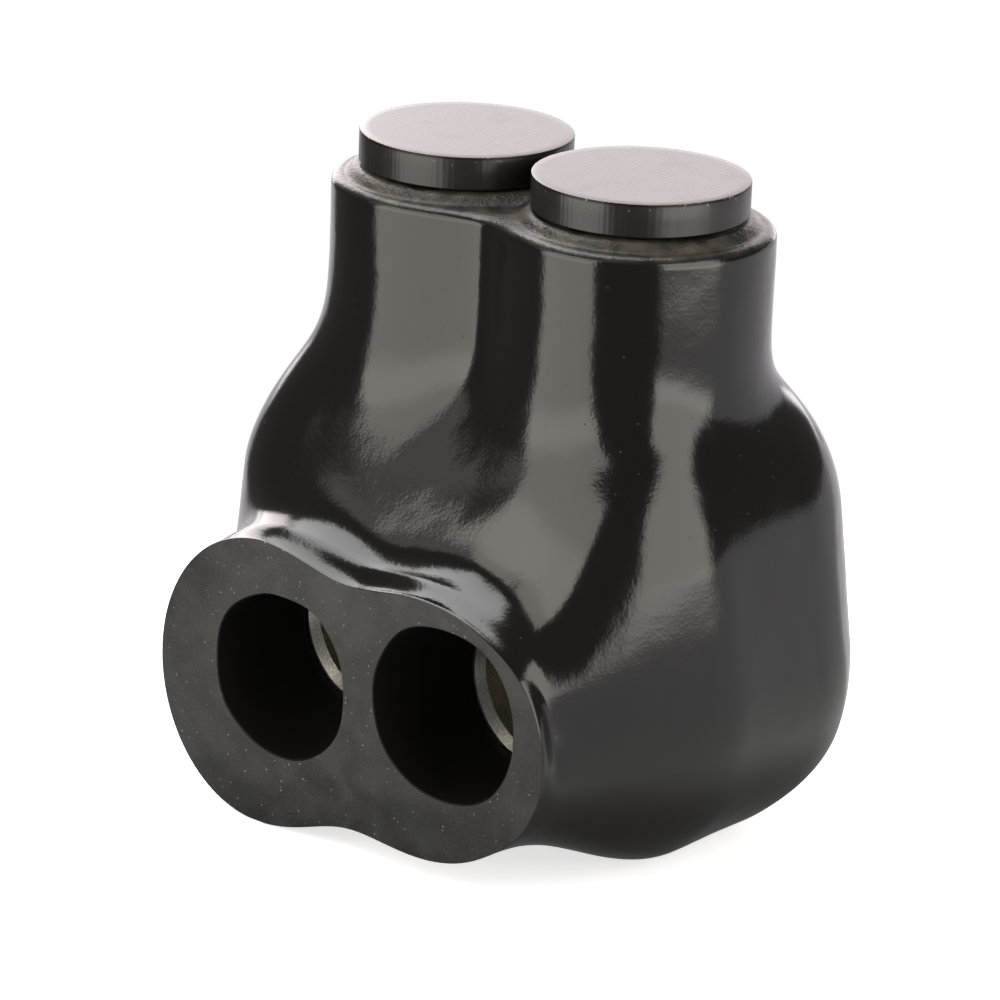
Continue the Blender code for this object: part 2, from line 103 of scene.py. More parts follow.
@dataclass(frozen=True)
class Layout:
    """Sizes that several pieces share."""

    pitch: float = 25.4 * MM
    port_height: float = 19.2 * MM
    bore_radius: float = 8.5 * MM
    bore_chamfer: float = 0.9 * MM
    clearance: float = 0.3 * MM
    block_side_wall: float = 5.0 * MM
    block_front: float = 14.0 * MM
    block_back: float = 14.5 * MM
    block_floor: float = 6.6 * MM
    block_top: float = 44.6 * MM
    block_edge: float = 4.2 * MM
    block_segments: int = 6
    bore_end_wall: float = 4.0 * MM
    screw_radius: float = 7.94 * MM
    screw_length: float = 19.0 * MM
    screw_start_gap: float = 0.6 * MM
    cap_top: float = 75.4 * MM
    cap_thickness: float = 3.8 * MM
    neck_bore: float = 10.0 * MM
    rim_drop: float = 1.1 * MM

    @property
    def half_width(self) -> float:
        """Half of the block's width."""
        return self.pitch / 2 + self.bore_radius + self.block_side_wall

    @property
    def rim_height(self) -> float:
        """Height of the necks' rolled rim."""
        return self.cap_top - self.cap_thickness - self.clearance - self.rim_drop

    @property
    def screw_base(self) -> float:
        """Height of the clamp screws' lower end."""
        return self.port_height + self.bore_radius + self.screw_start_gap

    def axis(self, side: Side) -> float:
        """Place of one port's axis along X."""
        return side.value * self.pitch / 2

    def block_form(self, gap: float = 0.0) -> Form:
        """The block's outer form, or with a gap the pocket that it sits in."""
        return box_form(
            (-self.half_width - gap, -self.block_front - gap, self.block_floor - gap),
            (self.half_width + gap, self.block_back + gap, self.block_top + gap),
            self.block_edge + gap, self.block_segments)


# ---- Small helpers for nodes and meshes ----

def linear(hex_colour: str) -> tuple[float, float, float, float]:
    """Turns an sRGB hex colour into linear values.

    Args:
        hex_colour: six hex digits.

    Returns:
        Red, green, blue and alpha.
    """
    parts = [int(hex_colour[i:i + 2], 16) / 255 for i in (0, 2, 4)]
    curve = [v / 12.92 if v <= 0.04045 else ((v + 0.055) / 1.055) ** 2.4 for v in parts]
    return (*curve, 1.0)


class Wiring:
    """A node tree, with short ways to the nodes that most finishes share."""

    def __init__(self, tree: bpy.types.NodeTree) -> None:
        """Empties the tree.

        Args:
            tree: the node tree.
        """
        tree.nodes.clear()
        self.tree = tree

    def add(self, kind: str, inputs: Optional[dict] = None, **settings: object) -> bpy.types.Node:
        """Adds a node, sets it up and links what feeds it.

        Args:
            kind: the node's type, without the word ShaderNode.
            inputs: socket name or number to a value or to an output socket.
            settings: properties of the node.

        Returns:
            The new node.
        """
        node = self.tree.nodes.new(f"ShaderNode{kind}")
        for name, value in settings.items():
            setattr(node, name, value)
        for name, value in (inputs or {}).items():
            if isinstance(value, Plug):
                self.tree.links.new(value, node.inputs[name])
            else:
                node.inputs[name].default_value = value
        return node

    def remap(self, value: Plug, low: float = 0.0, high: float = 1.0, start: float = 0.0,
              end: float = 1.0, curve: str = "LINEAR") -> Plug:
        """Turns low into start, high into end and what lies between them along a curve."""
        return self.add("MapRange", {0: value, 1: low, 2: high, 3: start, 4: end},
                        interpolation_type=curve).outputs[0]

    def product(self, first: Plug, second: Plug) -> Plug:
        """Multiplies two values."""
        return self.add("Math", {0: first, 1: second}, operation="MULTIPLY").outputs[0]

    def mean(self, share: float | Plug, first: float | Plug, second: float | Plug) -> Plug:
        """Mixes two values by the second one's share."""
        return self.add("Mix", {"Factor": share, "A": first, "B": second}).outputs[0]

    def blend(self, share: Plug, first: str | Plug, second: str | Plug) -> Plug:
        """Mixes two colours, each a socket or six hex digits, by the second one's share."""
        first, second = (linear(end) if isinstance(end, str) else end for end in (first, second))
        return self.add("Mix", {"Factor": share, "A": first, "B": second},
                        data_type="RGBA").outputs["Result"]

    def height(self, vector: Plug) -> Plug:
        """The Z part of a vector."""
        return self.add("SeparateXYZ", {0: vector}).outputs["Z"]

    def noise(self, place: Plug, size: float, detail: float, distortion: float = 0.0) -> Plug:
        """Soft noise with spots of about the given size."""
        return self.add("TexNoise", {"Vector": place, "Scale": 1 / size, "Detail": detail,
                                     "Distortion": distortion}).outputs[0]

    def cells(self, place: Plug, spacing: float) -> bpy.types.Node:
        """A random grid of cells."""
        return self.add("TexVoronoi", {"Vector": place, "Scale": 1 / spacing})

    def bump(self, height: Plug, depth: float, **under: Plug) -> Plug:
        """Relief of the given depth, over the Normal and with the Strength that are given."""
        return self.add("Bump", {"Height": height, "Distance": depth, **under}).outputs[0]

    def surface(self, shader: bpy.types.Node, kind: str = "Material") -> None:
        """Links a shader to the tree's output."""
        self.add(f"Output{kind}", {"Surface": shader.outputs[0]})


def smooth(mesh: bpy.types.Mesh, crease: float) -> None:
    """Shades a mesh smooth, with edges sharp past the given angle in degrees."""
    mesh.shade_smooth()
    mesh.set_sharp_from_angle(angle=math.radians(crease))


def slice_form(form: Form, point: Sequence[float], normal: Sequence[float],
               drop: bool = False) -> None:
    """Cuts a form along a plane.

    Args:
        form: the mesh.
        point: a point of the plane.
        normal: the way it faces.
        drop: whether what lies in front of the plane is taken away.
    """
    bmesh.ops.bisect_plane(form, geom=form.verts[:] + form.edges[:] + form.faces[:],
                           dist=HAIR / 10, plane_co=point, plane_no=normal, clear_outer=drop)


def set_up(made: Piece, place: Sequence[float], target: Sequence[float], roll: float) -> None:
    """Puts a lamp or camera in the scene, facing a point.

    Args:
        made: the lamp or camera.
        place: where it stands.
        target: the point that it faces.
        roll: its turn about the facing axis, in degrees.
    """
    made.location = place
    facing = (Vector(target) - Vector(place)).to_track_quat("-Z", "Y").to_matrix().to_4x4()
    made.rotation_euler = (facing @ Matrix.Rotation(math.radians(roll), 4, "Z")).to_euler()
    bpy.context.scene.collection.objects.link(made)


def to_object(name: str, form: Form, materials: Sequence[bpy.types.Material],
              crease: float = 35.0) -> Piece:
    """Turns a finished bmesh into an object at the origin, smooth with sharp edges kept.

    Args:
        name: the piece's name.
        form: the mesh, which is freed.
        materials: the piece's material slots.
        crease: the angle in degrees past which an edge stays sharp.

    Returns:
        The object.
    """
    mesh = bpy.data.meshes.new(name)
    form.to_mesh(mesh)
    form.free()
    for material in materials:
        mesh.materials.append(material)
    smooth(mesh, crease)
    piece = bpy.data.objects.new(name, mesh)
    bpy.context.scene.collection.objects.link(piece)
    return piece


def apply_modifiers(piece: Piece) -> Piece:
    """Bakes a piece's modifiers into its mesh.

    Args:
        piece: the object, with modifiers.

    Returns:
        The same object.
    """
    graph = bpy.context.evaluated_depsgraph_get()
    mesh = bpy.data.meshes.new_from_object(piece.evaluated_get(graph))
    piece.modifiers.clear()
    piece.data = mesh
    return piece


def cut(piece: Piece, tools: Iterable[Piece],
        operation: str = "DIFFERENCE") -> Piece:
    """Cuts or joins closed tool shapes into a piece, then removes the tools.

    Args:
        piece: the object to change.
        tools: closed shapes.
        operation: the kind of Boolean.

    Returns:
        The changed piece.
    """
    tools = list(tools)
    for tool in tools:
        step = piece.modifiers.new(tool.name, "BOOLEAN")
        step.operation = operation
        step.solver = "MANIFOLD"
        step.object = tool
    apply_modifiers(piece)
    for tool in tools:
        bpy.data.objects.remove(tool)
    return piece


def turned_form(profile: Sequence[tuple[float, float]], segments: int,
                centre: Vector = Vector(ORIGIN)) -> Form:
    """Turns a profile of (radius, height) points into a closed form.

    Args:
        profile: the points, from one end of the axis to the other.
        segments: how many steps go round.
        centre: where the axis stands.

    Returns:
        The mesh.
    """
    form = bmesh.new()
    verts = [form.verts.new((radius, 0.0, height)) for radius, height in profile]
    edges = [form.edges.new(pair) for pair in zip(verts, verts[1:])]
    bmesh.ops.spin(form, geom=verts + edges, cent=ORIGIN, axis=UP, angle=FULL_TURN,
                   steps=segments, use_merge=True)
    bmesh.ops.remove_doubles(form, verts=form.verts[:], dist=HAIR / 10)
    bmesh.ops.recalc_face_normals(form, faces=form.faces[:])
    bmesh.ops.translate(form, verts=form.verts[:], vec=centre)
    return form


def box_form(low: Sequence[float], high: Sequence[float], edge: float,
             segments: int) -> Form:
    """A box between two corners with round edges.

    Args:
        low: the lowest corner.
        high: the highest corner.
        edge: the edges' radius.
        segments: how finely the edges are rounded.

    Returns:
        The mesh.
    """
    form = bmesh.new()
    low, high = Vector(low), Vector(high)
    size = Matrix.Diagonal((*(high - low), 1.0))
    bmesh.ops.create_cube(form, size=1.0, matrix=Matrix.Translation((low + high) / 2) @ size)
    bmesh.ops.bevel(form, geom=form.edges[:], offset=edge, offset_type="OFFSET", affect="EDGES",
                    segments=segments, profile=0.5, material=-1)
    bmesh.ops.recalc_face_normals(form, faces=form.faces[:])
    return form


# ---- Finishes ----

@dataclass(frozen=True)
class Finish:
    """A surface finish, made as one node material."""

    name: str = "finish"

    def paint(self, wiring: Wiring, place: Plug) -> dict:
        """Lays the pattern.

        Args:
            wiring: the material's nodes.
            place: the object's own coordinates.

        Returns:
            What feeds the surface shader.
        """
        raise NotImplementedError

    def build(self) -> bpy.types.Material:
        """Makes the material.

        Returns:
            The finish.
        """
        material = bpy.data.materials.new(self.name)
        material.use_nodes = True
        wiring = Wiring(material.node_tree)
        place = wiring.add("TexCoord").outputs["Object"]
        wiring.surface(wiring.add("BsdfPrincipled", self.paint(wiring, place)))
        return material


@dataclass(frozen=True)
class DippedVinyl(Finish):
    """Black plastisol, cured on the dipped block: glossy, with orange peel and fine pinholes."""

    name: str = "dipped plastisol"
    colour: str = "100F0D"
    roughness: float = 0.13
    refraction: float = 1.52
    peel_size: float = 0.42 * MM
    peel_depth: float = 0.012 * MM
    ripple_size: float = 2.6 * MM
    ripple_depth: float = 0.03 * MM
    pinhole_spacing: float = 1.7 * MM
    pinhole_edge: tuple = (0.02, 0.055)
    pinhole_depth: float = 0.03 * MM
    rim_zone: tuple = (69.5 * MM, 70.2 * MM)
    # Painted sheen: the rim's two brown-greys stand in for the sky that its dull top reflects.
    rim_dark: str = "1E1C19"
    rim_sheen: str = "4A443B"
    rim_spread: tuple = (0.35, 0.65)
    rim_roughness: float = 0.42
    rim_grain: float = 0.09 * MM

    def paint(self, wiring: Wiring, place: Plug) -> dict:
        """Lays peel over ripple on the walls, and a dull rim with a painted sheen of brown-greys.
        """
        peel = wiring.noise(place, self.peel_size, 2.0)
        ripple = wiring.noise(place, self.ripple_size, 1.0)
        # A pinhole sits in the middle of a cell and is 0.1 to 0.2 mm wide.
        hole = wiring.remap(wiring.cells(place, self.pinhole_spacing).outputs["Distance"],
                            *self.pinhole_edge)
        relief = wiring.bump(ripple, self.ripple_depth)
        relief = wiring.bump(peel, self.peel_depth, Normal=relief)
        relief = wiring.bump(hole, self.pinhole_depth, Normal=relief)
        # The rim dries on the dipping rack, so its top is duller and rougher than the walls. Its
        # lighter brown-grey mottling is painted sheen, the reflection of the sky on that dull top.
        on_rim = wiring.remap(wiring.height(place), *self.rim_zone)
        relief = wiring.bump(peel, self.rim_grain, Normal=relief, Strength=on_rim)
        painted_rim_sheen = wiring.blend(wiring.remap(ripple, *self.rim_spread), self.rim_dark,
                               self.rim_sheen)
        return {"Base Color": wiring.blend(on_rim, self.colour, painted_rim_sheen),
                "Roughness": wiring.remap(on_rim, start=self.roughness, end=self.rim_roughness),
                "IOR": self.refraction, "Normal": relief}


@dataclass(frozen=True)
class CutVinyl(Finish):
    """The same vinyl where a blade has trimmed it: matt, with drag marks and light specks."""

    name: str = "blade-cut plastisol"
    dark: str = "191919"
    light: str = "2E2E2C"
    dust_and_sheen: str = "6E6B66"
    speck: str = "B4B0A8"
    roughness: float = 0.55
    refraction: float = 1.45
    smear_size: float = 4.5 * MM
    smear_distortion: float = 0.6
    grain_size: float = 0.28 * MM
    grain_share: float = 0.45
    grain_depth: float = 0.09 * MM
    cloud_spread: tuple = (0.38, 0.62)
    dust_dots: tuple = (0.3 * MM, 0.3, 0.55)
    speck_dots: tuple = (0.55 * MM, 0.22, 0.62)
    dot_fade: float = 0.15

    def dots(self, wiring: Wiring, place: Plug, spacing: float, reach: float,
             empty: float) -> Plug:
        """Small dots in some cells of a random grid.

        Args:
            wiring: the material's nodes.
            place: the coordinates.
            spacing: how far apart the cells are.
            reach: the dots' radius as a share of that.
            empty: the share of the cells that stays empty.

        Returns:
            1 on the dots and 0 elsewhere.
        """
        cells = wiring.cells(place, spacing)
        dot = wiring.remap(cells.outputs["Distance"], reach, reach / 2)
        return wiring.product(dot, wiring.remap(cells.outputs["Color"], empty,
                                                empty + self.dot_fade))

    def paint(self, wiring: Wiring, place: Plug) -> dict:
        """Lays dust and brighter specks over cloudy drag marks."""
        marks = wiring.mean(self.grain_share,
                            wiring.noise(place, self.smear_size, 4.0, self.smear_distortion),
                            wiring.noise(place, self.grain_size, 3.0))
        colour = wiring.blend(wiring.remap(marks, *self.cloud_spread), self.dark, self.light)
        colour = wiring.blend(self.dots(wiring, place, *self.dust_dots), colour, self.dust_and_sheen)
        colour = wiring.blend(self.dots(wiring, place, *self.speck_dots), colour, self.speck)
        return {"Base Color": colour, "Roughness": self.roughness, "IOR": self.refraction,
                "Normal": wiring.bump(marks, self.grain_depth)}


@dataclass(frozen=True)
class ShadedInsideVinyl(Finish):
    """The jacket's inside: a darker, duller copy of the vinyl, painted shade in the bores,
    passages and pocket.
    """

    name: str = "plastisol inside with painted shade"
    colour: str = "0B0A0A"
    roughness: float = 0.6
    shine: float = 0.2

    def paint(self, wiring: Wiring, place: Plug) -> dict:
        """Gives one even black."""
        return {"Base Color": linear(self.colour), "Roughness": self.roughness,
                "Specular IOR Level": self.shine}


@dataclass(frozen=True)
class SawnCap(Finish):
    """Black vinyl sheet sawn into discs: satin, with fine straight saw lines across the top."""

    name: str = "sawn vinyl sheet"
    colour: str = "191817"
    # Painted sheen: the two greys that lighten the caps' upward faces.
    top_sheen: str = "57504D"
    top_sheen_dim: str = "3E3836"
    edge_colour: str = "1E1512"
    crumb: str = "B7ABA0"
    roughness: tuple = (0.27, 0.35)
    refraction: float = 1.5
    line_period: float = 0.62 * MM
    line_depth: float = 0.018 * MM
    line_stretch: float = 40.0
    line_turn: float = 8.0
    line_tint: tuple = (0.3, 0.65, 0.4, 1.0)
    grain_size: float = 0.3 * MM
    grain_share: float = 0.4
    cloud_size: float = 5.0 * MM
    cloud_spread: tuple = (0.3, 0.7)
    top_sheen_spread: tuple = (0.38, 0.56)
    upward: tuple = (0.5, 0.95)
    top: float = 75.4 * MM
    edge_depth: float = 0.42 * MM
    edge_shine: tuple = (0.5, 0.15)
    crumb_spacing: float = 0.8 * MM
    crumb_edge: tuple = (0.16, 0.08)
    crumb_zone: tuple = (1.2 * MM, 0.2 * MM)
    crumb_strength: float = 0.6

    def lines(self, wiring: Wiring, place: Plug) -> Plug:
        """Saw lines nearly along Y, mixed with a fine grain.

        The pattern is drawn out forty times that way, and downwards, so it gives long
        scratches on top and upright ones on the rim.

        Args:
            wiring: the material's nodes.
            place: the object's own coordinates.

        Returns:
            The height of the scratched surface.
        """
        along = wiring.add("Mapping", {
            "Vector": place, "Rotation": (0.0, 0.0, math.radians(self.line_turn)),
            "Scale": (1.0, self.line_stretch, self.line_stretch)},
            vector_type="TEXTURE").outputs[0]
        strokes = wiring.add("TexWave", {
            "Vector": along, "Scale": FULL_TURN / (20 * self.line_period), "Distortion": 3.0,
            "Detail": 2.0, "Detail Scale": 0.4}).outputs["Fac"]
        lines = wiring.mean(0.5, wiring.noise(along, self.line_period / 2, 1.0), strokes)
        return wiring.mean(self.grain_share, lines, wiring.noise(place, self.grain_size, 2.0))

    def paint(self, wiring: Wiring, place: Plug) -> dict:
        """Lays a painted sheen on top, and a brown line with crumbs along the sawn edge."""
        rough = self.lines(wiring, place)
        cloud = wiring.noise(place, self.cloud_size, 3.0)
        # Painted sheen: what looks upwards is lightened in patches along the saw lines, standing
        # in for the light that the top reflects.
        flat = wiring.remap(wiring.height(wiring.add("NewGeometry").outputs["Normal"]),
                            *self.upward)
        painted_top_sheen = wiring.blend(wiring.remap(cloud, *self.top_sheen_spread), self.top_sheen_dim, self.top_sheen)
        dust_and_sheen = wiring.product(flat, wiring.remap(rough, *self.line_tint))
        # A dull brown line and a few pale crumbs follow the sawn edge.
        height = wiring.height(place)
        edge = wiring.remap(height, self.top - self.edge_depth, self.top - self.edge_depth / 2)
        side = wiring.blend(edge, self.colour, self.edge_colour)
        dot = wiring.remap(wiring.cells(place, self.crumb_spacing).outputs["Distance"],
                           *self.crumb_edge)
        near = wiring.remap(height, *(self.top - depth for depth in self.crumb_zone),
                            end=self.crumb_strength)
        side = wiring.blend(wiring.product(dot, near), side, self.crumb)
        shine = wiring.mean(flat, wiring.remap(edge, 0.0, 1.0, *self.edge_shine), 0.5)
        return {"Base Color": wiring.blend(dust_and_sheen, side, painted_top_sheen),
                "Roughness": wiring.remap(cloud, *self.cloud_spread, *self.roughness),
                "IOR": self.refraction, "Specular IOR Level": shine,
                "Normal": wiring.bump(rough, self.line_depth)}


@dataclass(frozen=True)
class MachinedAluminium(Finish):
    """Extruded aluminium, sawn and bored: bright metal with fine tool marks."""

    name: str = "machined aluminium"
    colour: str = "D6D3CB"
    dull: str = "AAA69E"
    roughness: float = 0.3
    mark_size: float = 0.22 * MM
    mark_spread: tuple = (0.35, 0.65)
    mark_depth: float = 0.012 * MM

    def paint(self, wiring: Wiring, place: Plug) -> dict:
        """Lays fine marks, dull in their hollows."""
        marks = wiring.noise(place, self.mark_size, 4.0)
        return {"Base Color": wiring.blend(wiring.remap(marks, *self.mark_spread), self.dull,
                                           self.colour),
                "Roughness": self.roughness, "Metallic": 1.0,
                "Normal": wiring.bump(marks, self.mark_depth)}


# ---- The jacket ----

@dataclass(frozen=True)
class Swell:
    """A soft swelling, or a hollow when its height is negative, left by the dip on the front."""

    height: float
    place: tuple[float, float]
    reach: tuple[float, float]

    def rise(self, x: np.ndarray, z: np.ndarray) -> np.ndarray:
        """How far it lifts the skin at points seen from the front."""
        across = (x - self.place[0]) / self.reach[0]
        up = (z - self.place[1]) / self.reach[1]
        return self.height * np.exp(-(across ** 2 + up ** 2) / 2)


@dataclass
class Skin:
    """The smooth outer form that the dip leaves, as a distance to it."""

    layout: Layout
    neck_radius: float = 15.1 * MM
    groove_blend: float = 14.1 * MM
    rim_round: float = 1.2 * MM
    lip_foot: float = 13.7 * MM
    lip_edge: float = 12.3 * MM
    lip_blend: float = 1.5 * MM
    body_width: float = 70.0 * MM
    body_front: float = 23.7 * MM
    body_back: float = 23.2 * MM
    body_top: float = 53.9 * MM
    corner_radius: float = 16.6 * MM
    shoulder_radius: float = 16.1 * MM
    bottom_radius: float = 22.8 * MM
    shoulder_blend: float = 8.0 * MM
    side_flare: float = 0.13
    underside_trim: float = 0.4 * MM
    front_zone: tuple = (1.0 * MM, 15.0 * MM)
    front_corner_radius: float = 18.6 * MM
    corner_change: tuple = (-44.0 * MM, -14.0 * MM)
    shoulder_change: float = 10.0 * MM
    front_shoulder_radius: float = 18.0 * MM
    front_shoulder_blend: float = 14.0 * MM
    front_lean: float = 0.06
    front_bulge: float = -0.028
    sag_depth: float = 4.5 * MM
    sag_zone: tuple = (-2.8 * MM, 15.2 * MM)
    sag_sides: tuple = (15.6 * MM, 33.1 * MM)
    sleeve_face: float = 30.5 * MM
    lobe_left: tuple = (-15.0 * MM, 16.6 * MM)
    lobe_left_radii: tuple = (14.4 * MM, 16.4 * MM)
    lobe_right: tuple = (11.5 * MM, 17.8 * MM)
    lobe_right_radii: tuple = (14.7 * MM, 14.5 * MM)
    waist_blend: float = 27.0 * MM
    sleeve_taper: tuple = (-12.0, -2.0)
    sleeve_drift: tuple = (0.116, 0.197)
    drift_sides: tuple = (-0.7, 0.7)
    root_blend: float = 8.0 * MM
    left_root_blend: float = 7.0 * MM
    right_root_blend: float = 24.0 * MM
    left_root: tuple = (16.0 * MM, 28.0 * MM)
    right_root: tuple = (14.0 * MM, 28.0 * MM)
    swells: tuple = (
        Swell(0.5 * MM, (15.2 * MM, 41.9 * MM), (4.0 * MM, 4.0 * MM)),
        Swell(-1.2 * MM, (24.2 * MM, 21.0 * MM), (4.0 * MM, 4.0 * MM)),
        Swell(1.0 * MM, (-2.6 * MM, 34.8 * MM), (11.8 * MM, 4.5 * MM)),
    )
    swell_fade: tuple = (10.0 * MM, 3.0 * MM)

    @property
    def half_height(self) -> float:
        """Half of the body's height before the underside is trimmed."""
        return (self.body_top + self.underside_trim) / 2

    @property
    def middle(self) -> float:
        """Height of the body's middle."""
        return self.body_top - self.half_height

    @staticmethod
    def union(a: np.ndarray, b: np.ndarray, reach: float) -> np.ndarray:
        """Distance to both forms together, with the inside corner filled."""
        overlap = np.maximum(reach - np.abs(a - b), 0.0) / reach
        return np.minimum(a, b) - overlap ** 3 * reach / 6

    @staticmethod
    def overlap(a: np.ndarray, b: np.ndarray, radius: float | np.ndarray) -> np.ndarray:
        """Distance to what two forms share, with a round outside corner."""
        outer_a, outer_b = a + radius, b + radius
        corner = np.hypot(np.maximum(outer_a, 0.0), np.maximum(outer_b, 0.0))
        return corner + np.minimum(np.maximum(outer_a, outer_b), 0.0) - radius

    @staticmethod
    def ramp(place: np.ndarray, start: float, end: float) -> np.ndarray:
        """Goes softly from 0 at the start to 1 at the end."""
        share = np.clip((place - start) / (end - start), 0.0, 1.0)
        return share ** 2 * (3 - 2 * share)

    def neck(self, x: np.ndarray, y: np.ndarray, z: np.ndarray) -> np.ndarray:
        """Distance to the joined necks, with a soft lip that swells up round each cap."""
        half = self.layout.pitch / 2
        left, right = np.hypot(x + half, y), np.hypot(x - half, y)
        wall = self.union(left - self.neck_radius, right - self.neck_radius, self.groove_blend)
        near = self.union(left, right, self.lip_blend)
        lip = self.layout.rim_drop * self.ramp(-near, -self.lip_foot, -self.lip_edge)
        top = self.overlap(wall, z - self.layout.rim_height - lip, self.rim_round)
        return np.maximum(top, self.middle - z)

    def body(self, x: np.ndarray, y: np.ndarray, z: np.ndarray) -> np.ndarray:
        """Distance to the soft block, wider at its foot, with a sagging front shoulder."""
        height = (self.middle - z) / self.half_height
        depth = (self.body_front + self.body_back) / 2
        from_centre = y - (self.body_back - self.body_front) / 2
        front = self.ramp(-y, *self.front_zone)
        low = front * self.ramp(-z, *self.corner_change)
        corner = self.corner_radius + (self.front_corner_radius - self.corner_radius) * low
        side = np.abs(x / (1 + self.side_flare * height)) - (self.body_width / 2 - corner)
        lean = self.front_lean * height + self.front_bulge * (1 - height ** 2)
        end = np.abs(from_centre / (1 + front * lean)) - (depth - corner)
        plan = np.hypot(np.maximum(side, 0.0), np.maximum(end, 0.0))
        plan = plan + np.minimum(np.maximum(side, end), 0.0) - corner
        above = z - self.middle
        softer = front * self.ramp(above, 0.0, self.shoulder_change)
        shoulder = self.shoulder_radius + (self.front_shoulder_radius
                                           - self.shoulder_radius) * softer
        sag = self.sag_depth * self.ramp(-y, *self.sag_zone)
        sag = sag * (1 - self.ramp(np.abs(x), *self.sag_sides))
        rise = np.where(above > 0.0, above + sag, -above) - self.half_height
        return self.overlap(plan, rise, np.where(above > 0.0, shoulder, self.bottom_radius))

    def lobe(self, x: np.ndarray, y: np.ndarray, z: np.ndarray, centre: tuple,
             radii: tuple) -> np.ndarray:
        """Distance to one oval lobe of the sleeve, along Y.

        Behind its face, the lobe's upper right side narrows and drifts, as the dip has left it.
        """
        behind = np.clip(y + self.sleeve_face, -self.swell_fade[1], self.sleeve_face)
        corner = (x - centre[0]) / radii[0] + (z - centre[1]) / radii[1]
        behind = behind * self.ramp(corner, *self.drift_sides)
        wide = radii[0] * (1 + self.sleeve_taper[0] * behind)
        high = radii[1] * (1 + self.sleeve_taper[1] * behind)
        across = x - centre[0] - self.sleeve_drift[0] * behind
        up = z - centre[1] - self.sleeve_drift[1] * behind
        size = np.hypot(across / wide, up / high)
        slope = np.hypot(across / wide ** 2, up / high ** 2) + 1e-9
        return np.where(size > 1e-6, size * (size - 1) / slope, -min(radii))

    def distance(self, points: np.ndarray) -> np.ndarray:
        """Distance of each point to the whole skin, negative inside."""
        x, y, z = points[:, 0], points[:, 1], points[:, 2]
        sleeve = self.union(self.lobe(x, y, z, self.lobe_left, self.lobe_left_radii),
                            self.lobe(x, y, z, self.lobe_right, self.lobe_right_radii),
                            self.waist_blend)
        blend = self.shoulder_blend + (self.front_shoulder_blend - self.shoulder_blend
                                       ) * self.ramp(-y, *self.front_zone)
        body = self.union(self.neck(x, y, z), self.body(x, y, z), blend)
        root = self.root_blend + (self.left_root_blend - self.root_blend
                                  ) * self.ramp(-x, *self.left_root)
        root = root + (self.right_root_blend - self.root_blend) * self.ramp(x, *self.right_root)
        swell = sum(one.rise(x, z) for one in self.swells)
        swell = swell * self.ramp(-y, 0.0, self.swell_fade[0])
        swell = swell * self.ramp(y + self.sleeve_face, 0.0, self.swell_fade[1])
        return self.union(body, np.maximum(sleeve, y), root) - swell

    def settle(self, verts: Sequence[bmesh.types.BMVert], held: np.ndarray,
               steps: int = 6) -> None:
        """Moves vertices onto the skin.

        Args:
            verts: the vertices.
            held: which axes each vertex keeps.
            steps: how often the move is repeated.
        """
        points = np.array([vert.co for vert in verts])
        small = 1e-5
        for _ in range(steps):
            slopes = [self.distance(points + axis) - self.distance(points - axis)
                      for axis in np.eye(3) * small]
            slope = np.where(held, 0.0, np.stack(slopes, axis=1) / (2 * small))
            length = np.maximum((slope ** 2).sum(axis=1), 1e-3)
            points -= slope * (self.distance(points) / length)[:, None]
        for vert, point in zip(verts, points):
            vert.co = point


